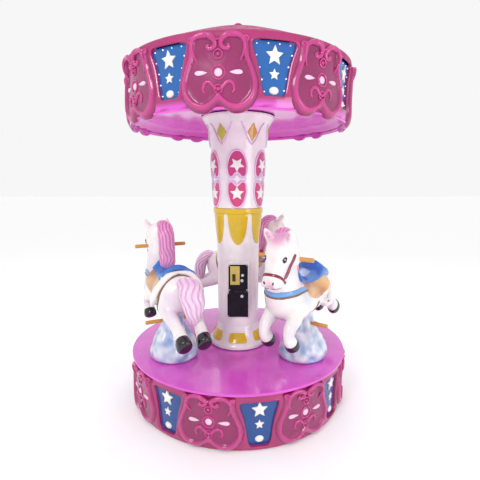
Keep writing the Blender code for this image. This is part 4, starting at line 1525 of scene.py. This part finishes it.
    def bead(self, made: Shape, bead: Bead) -> None:
        """Adds a small oval lump that sits on the skin and follows its slope."""
        place, normal = self.skin(bead.point)
        ahead = np.cross(np.cross(normal, (math.cos(bead.turn), 0.0, math.sin(bead.turn))), normal)
        ahead /= np.linalg.norm(ahead)
        across = np.cross(normal, ahead)
        long, wide, high = bead.size
        turn = around(20)
        rows = [place + normal * (math.sin(a) * high - bead.sunk)
                + np.outer(np.cos(turn) * math.cos(a) * long, ahead)
                + np.outer(np.sin(turn) * math.cos(a) * wide, across)
                for a in np.linspace(-1.5, 1.5, 12)]
        made.grid(np.array(rows), caps=True, colour=bead.colour)


@dataclass
class PonyTack:
    """What lies on a pony's skin: saddle, straps, bridle, eyes and hooves."""

    body: PonyBody

    BACK_REACH = 0.124
    AXIS_HEIGHT = 0.375
    ROLL = ((-.190, .004, .506), (-.198, .056, .494), (-.193, .104, .446), (-.168, .128, .385),
            (-.140, .132, .335))
    SIDE_STRAPS = (
        Strap(((-.020, .118, .345), (-.022, .112, .300), (-.022, .060, .266), (-.022, 0, .258)),
              .026, STRAP_BROWN),
        Strap(((-.205, 0, .500), (-.212, .060, .482), (-.212, .112, .420), (-.192, .122, .360),
               (-.165, .114, .305)), .016, STRAP_BROWN, 0.004),
        Strap(((.095, .118, .462), (.150, .105, .455), (.215, .080, .446), (.268, .030, .442)),
              .026, SKY),
        Strap(((.095, .118, .446), (.150, .105, .439), (.215, .080, .430), (.268, .030, .426)),
              .010, STRAP_BROWN, 0.0045),
        Strap(((.276, .058, .520), (.256, .066, .560), (.232, .078, .612), (.226, .080, .628)),
              .015, BRIDLE_RED),
        Strap(((.262, .060, .520), (.240, .068, .560), (.218, .078, .606), (.212, .080, .628)),
              .005, BRIDLE_RED),
        Strap(((.274, .072, .620), (.283, .072, .630), (.295, .066, .628), (.303, .060, .616)),
              .0045, LID_GREY, 0.0030, 5),
        Strap(((.332, .004, .476), (.318, .034, .470), (.292, .046, .480)), .0035, MOUTH,
              0.0012, 5))
    SIDE_BEADS = (
        Bead((.219, .082, .629), (.013, .009, .006), .001, BRIDLE_RED),
        Bead((.288, .068, .6135), (.0150, .0105, .009), .004, EYE_BLACK, -0.9),
        # A white dot on the eye, a painted highlight.
        Bead((.294, .070, .6195), (.0028, .0028, .0020), -.0045, EYE_HIGHLIGHT),
        Bead((.333, .024, .506), (.0085, .0055, .004), .0015, NOSTRIL, 0.6))
    MIDDLE_STRAPS = (
        Strap(((.262, .050, .440), (.262, 0, .440), (.262, -.050, .440)), .026, SKY),
        Strap(((.262, .050, .424), (.262, 0, .424), (.262, -.050, .424)), .010, STRAP_BROWN,
              0.0045),
        Strap(((.262, .056, .500), (.290, .054, .524), (.314, .034, .542), (.322, 0, .546),
               (.314, -.034, .542), (.290, -.054, .524), (.262, -.056, .500)), .015, BRIDLE_RED,
              0.0035))
    HOOVES = (((-.400, .054, .218, .034, .040, -148), (-.410, .053, .210, .0375, .0455, -148),
               (-.424, .052, .200, .0385, .0470, -148), (-.436, .051, .192, .0370, .0450, -148),
               (-.443, .051, .188, .029, .035, -148), (-.445, .051, .187, .014, .018, -148)),
              ((.224, .068, .191, .034, .036, -127), (.214, .068, .180, .0375, .0385, -130),
               (.204, .068, .168, .0385, .0395, -130), (.197, .068, .160, .036, .037, -130),
               (.192, .068, .155, .027, .028, -130), (.190, .068, .153, .013, .014, -130)))

    def saddle_sheet(self, made: Shape, ahead: tuple[float, float], reach: Callable[[float], float],
                     rise: Callable[[float, float], float], colour: Callable[[Array], Array],
                     across: int = 49, rows: int = 42) -> None:
        """Adds a padded sheet over the pony's back.

        Args:
            made: the shape that the sheet goes into.
            ahead: where the sheet starts and ends along the pony.
            reach: how far down each side it goes, in radians from the top, by place ahead.
            rise: how far it stands off the skin, by place ahead and share of its reach.
            colour: its colour by point.
            across: how many points go across.
            rows: how many rows go along.
        """
        tree = self.body.tree
        grid, under = [], []
        for t in np.arange(rows) / (rows - 1):
            x = ahead[0] + (ahead[1] - ahead[0]) * t
            start = Vector((x, 0.0, self.AXIS_HEIGHT))
            row, low = [], []
            for share in 2.0 * np.arange(across) / (across - 1) - 1.0:
                turn = share * reach(t)
                away = Vector((0.0, math.sin(turn), math.cos(turn)))
                hit = tree.ray_cast(start + away * 0.22, -away)[0] or start + away * 0.10
                hit = start + away * min((hit - start).length, self.BACK_REACH)
                edge = min(1.0, 3.2 * max(0.0, min(1 - abs(share), t, 1 - t)) ** 0.5)
                row.append(hit + away * rise(x, share) * edge)
                low.append(hit - away * 0.004)
            grid.append(row)
            under.append(low)
        top, bottom = np.array(grid), np.array(under)
        rings = np.concatenate([top, bottom[:, ::-1]], axis=1)
        made.grid(rings, colour=colour(rings.reshape(-1, 3)))
        for k in (0, rows - 1):
            strip = np.stack([top[k], bottom[k]])
            made.grid(strip, wrap=False, colour=colour(strip.reshape(-1, 3)))

    def saddle(self, seat: Colour) -> Shape:
        """The whole saddle: tan flaps, white roll behind, and the coloured seat on top."""
        made = Shape()
        self.saddle_sheet(made, (-.165, .105), lambda t: 1.62 - 0.35 * (2 * t - 1) ** 2,
                          lambda x, s: 0.0085, self.leathered)

        def seat_rise(x: float, share: float) -> float:
            """The padding, with the pommel in front and the cantle behind."""
            pommel = 0.046 * math.exp(-((x - .090) / .034) ** 2) * math.exp(-(share / .60) ** 2)
            cantle = 0.040 * math.exp(-((x + .168) / .034) ** 2) * math.exp(-(share / .85) ** 2)
            return 0.018 + pommel + cantle

        pale = tuple(0.45 * s + 0.55 * b for s, b in zip(seat, SEAT_EDGE))
        # A darker copy of the seat colour, painted on the back of the cantle as painted shade.
        cantle_shade = tuple(0.35 * c for c in seat)

        def seat_colour(points: Array) -> Array:
            """The seat's own colour, pale at its edges, with painted shade on the back of the
            cantle.
            """
            shade = mixed(seat, pale, 0.7 * ramp(np.abs(points[:, 1]), .070, .100)
                          + 0.35 * lumps(points, 18.0, 2.0))
            return mixed(shade, cantle_shade, ramp(-points[:, 0], .176, .184))

        self.saddle_sheet(made, (-.192, .112),
                          lambda t: 0.94 - 0.24 * t - 0.10 * math.cos(math.pi * t) ** 2,
                          seat_rise, seat_colour)
        for side in BOTH_SIDES:
            roll = smooth_line(sided(self.ROLL, side), 6)
            thick = np.interp(np.linspace(0, 1, len(roll)), (0, .3, .8, 1),
                              (.010, .017, .022, .014))
            made.grid(swept(roll, thick, 14), caps=True, colour=WHITE_COAT)
        return made

    @staticmethod
    def leathered(points: Array) -> Array:
        """Tan leather with paler places."""
        share = 0.5 + 0.8 * lumps(points, 14.0, 8.0)
        return mixed(*LEATHERS, share)

    def straps(self) -> Shape:
        """Girth, chest strap, crupper line, bridle, mouth, eyes and nostrils."""
        made = Shape()
        for side in BOTH_SIDES:
            for strap in self.SIDE_STRAPS:
                self.body.strap(made, replace(strap, points=sided(strap.points, side)))
            for bead in self.SIDE_BEADS:
                self.body.bead(made, replace(bead, point=sided([bead.point], side)[0]))
        for strap in self.MIDDLE_STRAPS:
            self.body.strap(made, strap)
        return made

    def hooves(self) -> Shape:
        """Four black rounded hooves."""
        made = Shape()
        for side in BOTH_SIDES:
            for hoof in self.HOOVES:
                made.grid(lofted(sided(hoof, side), 24, 3), caps=True, colour=HOOF_BLACK)
        return made


@dataclass(frozen=True)
class PonyHair:
    """The mane and the tail, moulded in grooved strands."""

    MANE = ((.208, -.008, .716, .010, .007, 134), (.196, -.012, .722, .022, .015, 144),
            (.176, -.015, .726, .036, .028, 165), (.140, -.019, .717, .042, .036, 205),
            (.113, -.020, .676, .046, .039, 240), (.099, -.019, .620, .046, .041, 256),
            (.084, -.016, .555, .046, .040, 250), (.060, -.012, .500, .042, .033, 235),
            (.044, -.010, .478, .018, .015, 225))
    TAIL = ((-.235, -.008, .462, .030, .022, 190), (-.275, -.014, .470, .052, .032, 205),
            (-.318, -.020, .442, .062, .038, 235), (-.342, -.026, .386, .060, .040, 258),
            (-.346, -.028, .330, .046, .036, 270), (-.340, -.026, .285, .028, .024, 285),
            (-.332, -.024, .258, .008, .008, 290))
    SIDES = 120
    DEPTH = 0.14

    def build(self, stations: Sequence[Station], name: str, locks: int,
              shade_and_highlight: tuple[Colour, Colour]) -> Mesh:
        """A loft grooved into locks that wander a little along its length, painted dark in the
        grooves and light on the crests as painted shade and painted highlight.
        """
        sides = self.SIDES
        rings = lofted(stations, sides, 9)
        middles = rings.mean(axis=1, keepdims=True)
        turn = np.arange(sides) / sides
        along = np.linspace(0.0, 1.0, len(rings))[:, None]
        wander = 0.05 * np.sin(2 * math.pi * (1.5 * along)) + 0.02 * np.sin(2 * math.pi * 4 * along)
        phase = (turn[None] + wander) * locks
        groove = np.abs(np.sin(math.pi * phase)) ** 0.55
        fine = 0.25 * np.abs(np.sin(math.pi * phase * 3.0 + 2.0)) ** 0.7
        share = 1.0 + self.DEPTH * (groove + fine - 0.85)
        rings = middles + (rings - middles) * share[:, :, None]
        shape = Shape()
        # Each lock is painted dark in its groove and light on its crest: painted shade and painted
        # highlight.
        shape.grid(rings, caps=True, colour=mixed(*shade_and_highlight, (groove * 0.9 + fine * 0.6).ravel()))
        mesh = shape.mesh(name, 60.0)
        self.map_strands(mesh, rings)
        return mesh

    @staticmethod
    def map_strands(mesh: Mesh, rings: Array) -> None:
        """Gives the mesh a map with the way round first and the way along second."""
        count, sides = rings.shape[:2]
        tree = BVHTree.FromPolygons([Vector(p) for p in rings.reshape(-1, 3)],
                                    [(r * sides + c, r * sides + (c + 1) % sides,
                                      (r + 1) * sides + (c + 1) % sides, (r + 1) * sides + c)
                                     for r in range(count - 1) for c in range(sides)])
        layer = mesh.uv_layers.new(name=STRAND_MAP)
        for face in mesh.polygons:
            index = tree.find_nearest(face.center)[2]
            row, column = divmod(index, sides)
            for loop in face.loop_indices:
                corner = mesh.vertices[mesh.loops[loop].vertex_index].co
                ring = rings[row:row + 2, [column, (column + 1) % sides]].reshape(4, 3)
                nearest = int(np.argmin(np.linalg.norm(ring - np.array(corner), axis=1)))
                layer.data[loop].uv = ((column + nearest % 2) / sides,
                                       (row + nearest // 2) / count)


@dataclass(frozen=True)
class Pony:
    """One pony of the ride, with its bars and its cloud, set on the deck."""

    number: int
    degrees: float
    seat: Colour
    seat_slot: Slot
    deck: float = 0.3055
    radius: float = 0.425
    ahead: float = 0.040

    HANDLE = (0.165, 0.605)
    FOOT_BAR = (-0.050, 0.205)
    BAR_HALF = 0.155
    BAR_RADIUS = 0.0112
    CLOUD = ((0.0005, 0.128), (0.012, 0.139), (0.045, 0.137), (0.080, 0.124), (0.120, 0.103),
             (0.160, 0.080), (0.210, 0.064), (0.290, 0.056))

    def frame_of(self) -> Matrix:
        """Where the pony's own frame stands on the ride."""
        angle = math.radians(self.degrees)
        middle = Vector((math.cos(angle), math.sin(angle), 0.0)) * self.radius
        ahead = Vector((math.sin(angle), -math.cos(angle), 0.0)) * self.ahead
        up = Vector((0.0, 0.0, self.deck))
        return (Matrix.Translation(middle + ahead + up)
                @ Matrix.Rotation(angle - math.pi / 2, 4, "Z"))

    @classmethod
    def bar_mesh(cls, place: tuple[float, float], name: str) -> Mesh:
        """A round bar across the pony, with a ribbed sleeve at each end."""
        x, z = place
        half, turn = cls.BAR_HALF, around(24)
        levels = [(-half, 0.35), (-half + .0015, 0.80), (-half + .004, 0.98)]
        levels += [(y, 1.0 + 0.035 * math.sin(2 * math.pi * y / 0.0075))
                   for y in np.arange(-half + .006, -half + .074, .001)]
        levels += [(-half + .076, 0.93), (0.0, 0.93)]
        levels += [(-y, share) for y, share in reversed(levels[:-1])]
        rows = [np.column_stack([x + cls.BAR_RADIUS * share * np.cos(turn), np.full(24, y),
                                 z + cls.BAR_RADIUS * share * np.sin(turn)])
                for y, share in levels]
        shape = Shape()
        shape.grid(np.array(rows), caps=True, colour=BAR_GOLD)
        return shape.mesh(name, 50.0)

    @classmethod
    def cloud_mesh(cls) -> Mesh:
        """The lumpy cloud under a pony, airbrushed pale blue and white."""
        turn = around(96)
        rows = []
        for z, radius in smooth_line(cls.CLOUD, 7):
            share = ramp(z, 0.0, 0.03) * (1 - ramp(z, 0.20, 0.27))
            bulge = np.abs(np.sin(3.5 * turn + 9.0 * z)) * 0.10 - 0.05
            bulge += 0.05 * np.sin(5 * turn - 22.0 * z)
            reach = radius * (1 + share * bulge)
            rows.append(np.column_stack([reach * np.cos(turn) - 0.070,
                                         0.94 * reach * np.sin(turn), np.full(96, z)]))
        rings = np.array(rows)
        points = rings.reshape(-1, 3)
        swirl = lumps(points * np.array([1, 1, 1.6]), 15.0, 4.0) + 0.4 * lumps(points, 38.0, 1.0)
        push = (0.006 * swirl).reshape(rings.shape[:2]) * ramp(rings[:, :, 2], 0.004, 0.03)
        away = rings - rings.mean(axis=1, keepdims=True)
        away /= np.linalg.norm(away, axis=2)[:, :, None]
        shape = Shape()
        shape.grid(rings + away * push[:, :, None], caps=True,
                   colour=mixed(*CLOUD_TONES, 0.55 + 0.9 * swirl))
        return shape.mesh("cloud", 60.0)

    def set_down(self, mesh: Mesh, suffix: str, finish: Material, slot: Slot,
                 *nodes: str) -> None:
        """Places a copy of a mesh in the pony's frame and sets it on the turntable."""
        own = mesh.copy()
        own.transform(self.frame_of())
        piece = placed(f"pony_{self.number}_{suffix}_skin", own, finish)
        dress(piece, Body.TURNTABLE, slot, *(f"pony_{self.number}_{node}" for node in nodes))


@dataclass
class Herd:
    """The three ponies, built from the same moulds."""

    ponies: Sequence[Pony]

    def build(self, finishes: Finishes) -> None:
        """Builds each mould once and sets it down under every pony's name."""
        body = PonyBody()
        tack = PonyTack(body)
        hair = PonyHair()
        skins = (
            ("body", body.mesh, Finish.PAINTED, Slot.WHITE, ["body"]),
            ("mane", hair.build(hair.MANE, "mane", 13, MANE_SHADE_AND_HIGHLIGHT), Finish.HAIR, Slot.ROSE,
             ["mane"]),
            ("tail", hair.build(hair.TAIL, "tail", 11, TAIL_SHADE_AND_HIGHLIGHT), Finish.HAIR, Slot.ROSE,
             ["tail"]))
        fittings = (
            ("straps", tack.straps().mesh("straps", 60.0), Finish.PAINTED, Slot.WHITE, []),
            ("hooves", tack.hooves().mesh("hooves", 60.0), Finish.PAINTED, Slot.BLACK, []),
            ("cloud", Pony.cloud_mesh(), Finish.PAINTED, Slot.CLOUD, ["cloud"]),
            ("handle_bar", Pony.bar_mesh(Pony.HANDLE, "handle"), Finish.SATIN, Slot.BAR_YELLOW,
             ["handle_bar"]),
            ("foot_bar", Pony.bar_mesh(Pony.FOOT_BAR, "foot_bar"), Finish.SATIN,
             Slot.BAR_YELLOW, ["foot_bar"]))
        for pony in self.ponies:
            saddle = ("saddle", tack.saddle(pony.seat).mesh("saddle", 60.0), Finish.PAINTED,
                      pony.seat_slot, ["saddle"])
            for suffix, mesh, finish, slot, nodes in (*skins, saddle, *fittings):
                pony.set_down(mesh, suffix, finishes[finish], slot, *nodes)


def add_camera() -> None:
    """Puts the camera where the photo was taken from."""
    camera = bpy.data.cameras.new("camera")
    camera.lens = 28.5
    camera.sensor_width = 36.0
    camera.shift_x = (PHOTO_WIDTH / 2 - AXIS_COLUMN) / PHOTO_WIDTH
    made = bpy.data.objects.new("camera", camera)
    made.location = CAMERA_PLACE
    made.rotation_euler = (math.radians(90.0) - CAMERA_DOWN, 0.0, 0.0)
    bpy.context.scene.collection.objects.link(made)
    bpy.context.scene.camera = made


@dataclass(frozen=True)
class StudioLamp:
    """A soft square lamp that faces a point."""

    name: str
    place: Point
    aim: Point
    size: float
    power: float
    tone: Colour = WHITE

    def build(self) -> None:
        """Adds the lamp."""
        lamp = bpy.data.lights.new(self.name, "AREA")
        lamp.size = self.size
        lamp.energy = self.power
        lamp.color = self.tone
        made = bpy.data.objects.new(self.name, lamp)
        made.location = self.place
        aim = Vector(self.aim) - Vector(self.place)
        made.rotation_euler = aim.to_track_quat("-Z", "Y").to_euler()
        bpy.context.scene.collection.objects.link(made)


def add_studio(finish: Material) -> None:
    """The white world, the soft lamps and the pale floor."""
    world = bpy.data.worlds.new("studio")
    world.use_nodes = True
    tree = world.node_tree
    sky = tree.nodes["Background"]
    sky.inputs["Color"].default_value = (*WHITE, 1.0)
    direction = tree.nodes.new("ShaderNodeTexCoord").outputs["Generated"]
    split = tree.nodes.new("ShaderNodeSeparateXYZ")
    fade = tree.nodes.new("ShaderNodeMapRange")
    for key, value in WORLD_FADE.items():
        fade.inputs[key].default_value = value
    tree.links.new(direction, split.inputs["Vector"])
    tree.links.new(split.outputs["Y"], fade.inputs["Value"])
    tree.links.new(fade.outputs["Result"], sky.inputs["Strength"])
    bpy.context.scene.world = world
    bpy.context.scene.view_settings.view_transform = "Standard"
    for lamp in (StudioLamp("key", (-1.5, -3.4, 3.6), (0.0, 0.0, 0.8), 1.2, 54.0),
                 StudioLamp("fill", (2.6, -2.6, 1.0), (0.0, 0.0, 1.1), 1.4, 23.0,
                            (1.0, 0.95, 0.98)),
                 StudioLamp("back", (0.5, 3.2, 3.0), (0.0, 0.0, 1.0), 2.0, 20.0)):
        lamp.build()
    floor = bpy.data.meshes.new("floor")
    corners = [(-1, -1), (1, -1), (1, 1), (-1, 1)]
    floor.from_pydata([(x * FLOOR_REACH, y * FLOOR_REACH, 0) for x, y in corners], [],
                      [(0, 1, 2, 3)])
    placed("floor", floor, finish)


def dress_nodes(frame: dict, finishes: Finishes) -> None:
    """Gives a finish to the solids that show as they are."""
    for finish, nodes in (
            (Finish.BLACK, ("base_plate", "cash_door")),
            (Finish.STEEL, ("turntable_bearing", "centre_post", "cash_bin", "cash_door_hinge",
                            "cash_door_lock", "coin_return_button"))):
        for node in nodes:
            solid = frame["nodes"][node]
            for slot in solid.material_slots:
                slot.material = finishes[finish]
            if not solid.material_slots:
                solid.data.materials.append(finishes[finish])


def make_finishes() -> Finishes:
    """Every finish of the ride."""
    kinds = {
        Finish.PAINTED: GelCoat(painted=True),
        Finish.MOULDED: GelCoat(painted=True, roughness=0.22, coat=0.35),
        Finish.WEATHERED: GelCoat(painted=True, roughness=0.55, coat=0.0),
        Finish.SATIN: GelCoat(painted=True, roughness=0.34, coat=0.15),
        Finish.TRIM: GelCoat(STAR_WHITE, roughness=0.3),
        Finish.LABEL: GelCoat(STICKER_YELLOW, roughness=0.38, coat=0.0),
        Finish.BLACK: GelCoat(PLATE_BLACK, roughness=0.42, mottling=0.2, coat=0.0, gleam=0.22),
        Finish.HAIR: Strands(),
        Finish.STEEL: Metal(),
        Finish.LENS: Lamp(),
        Finish.GROUND: Ground(),
    }
    return {finish: kind.material(finish.value) for finish, kind in kinds.items()}


BASE_RING = Ring(
    name="base", node="base_skirt", band_node="base_star_band",
    wall=RoundWall((0.006, 0.15, 0.2915), (0.6265, 0.6245, 0.6265), 0.626), low=0.006,
    high=0.2900, shield=Shield(0.006, 0.2845, MAGENTA), window=(0.056, 0.108, 0.024, 0.250),
    star_heights=(0.208, 0.131, 0.055), phase=math.radians(-12.9), blue=BASE_BLUE,
    under=MAGENTA, under_height=0.0)
CANOPY_RING = Ring(
    name="canopy", node="canopy_skirt", band_node="canopy_star_band",
    wall=RoundWall((1.5785, 1.600, 1.625, 1.65, 1.80, 1.893),
                   (0.607, 0.607, 0.613, 0.6145, 0.613, 0.624), 0.614),
    low=1.603, high=1.893, shield=Shield(1.5755, 1.889, VAULT_PINK),
    window=(0.052, 0.110, 1.648, 1.872), star_heights=(1.814, 1.738, 1.672),
    phase=math.radians(-7.7), blue=PANEL_BLUE, under=ORCHID, under_height=1.622, lit=True)
DECK = ((0.104, 0.3055, 0.0), (0.645, 0.3055, 0.005), (0.645, 0.2915, 0.003),
        (0.104, 0.2915, 0.0))
PONIES = (Pony(1, 206.0, SADDLE_BLUE, Slot.SADDLE_BLUE),
          Pony(2, 326.0, SADDLE_BLUE, Slot.SADDLE_BLUE),
          Pony(3, 86.0, SADDLE_RED, Slot.SADDLE_RED))


def main(frame: dict) -> None:
    """Builds everything."""
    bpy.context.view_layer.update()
    finishes = make_finishes()
    dress_nodes(frame, finishes)
    repeater, lenses = RoundRepeater(), LineRepeater()
    BASE_RING.build(repeater, lenses, finishes)
    CANOPY_RING.build(repeater, lenses, finishes)
    Canopy().build(finishes)
    Column().build(repeater, finishes)
    CoinPanel().build(finishes)
    dress(revolve("deck_skin", rounded_profile(DECK), finishes[Finish.PAINTED], ORCHID),
          Body.TURNTABLE, Slot.ORCHID, "deck")
    Herd(PONIES).build(finishes)
    add_studio(finishes[Finish.GROUND])
    add_camera()


logging.basicConfig(level=logging.INFO, format="%(name)s: %(message)s")
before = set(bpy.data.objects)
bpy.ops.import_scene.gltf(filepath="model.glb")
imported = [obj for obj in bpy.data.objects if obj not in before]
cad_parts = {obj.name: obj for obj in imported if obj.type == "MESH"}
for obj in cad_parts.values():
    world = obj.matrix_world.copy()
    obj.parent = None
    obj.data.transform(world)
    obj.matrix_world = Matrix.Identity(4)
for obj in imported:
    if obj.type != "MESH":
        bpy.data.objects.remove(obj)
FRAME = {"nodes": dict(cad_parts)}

if __name__ == "__main__":
    main(FRAME)
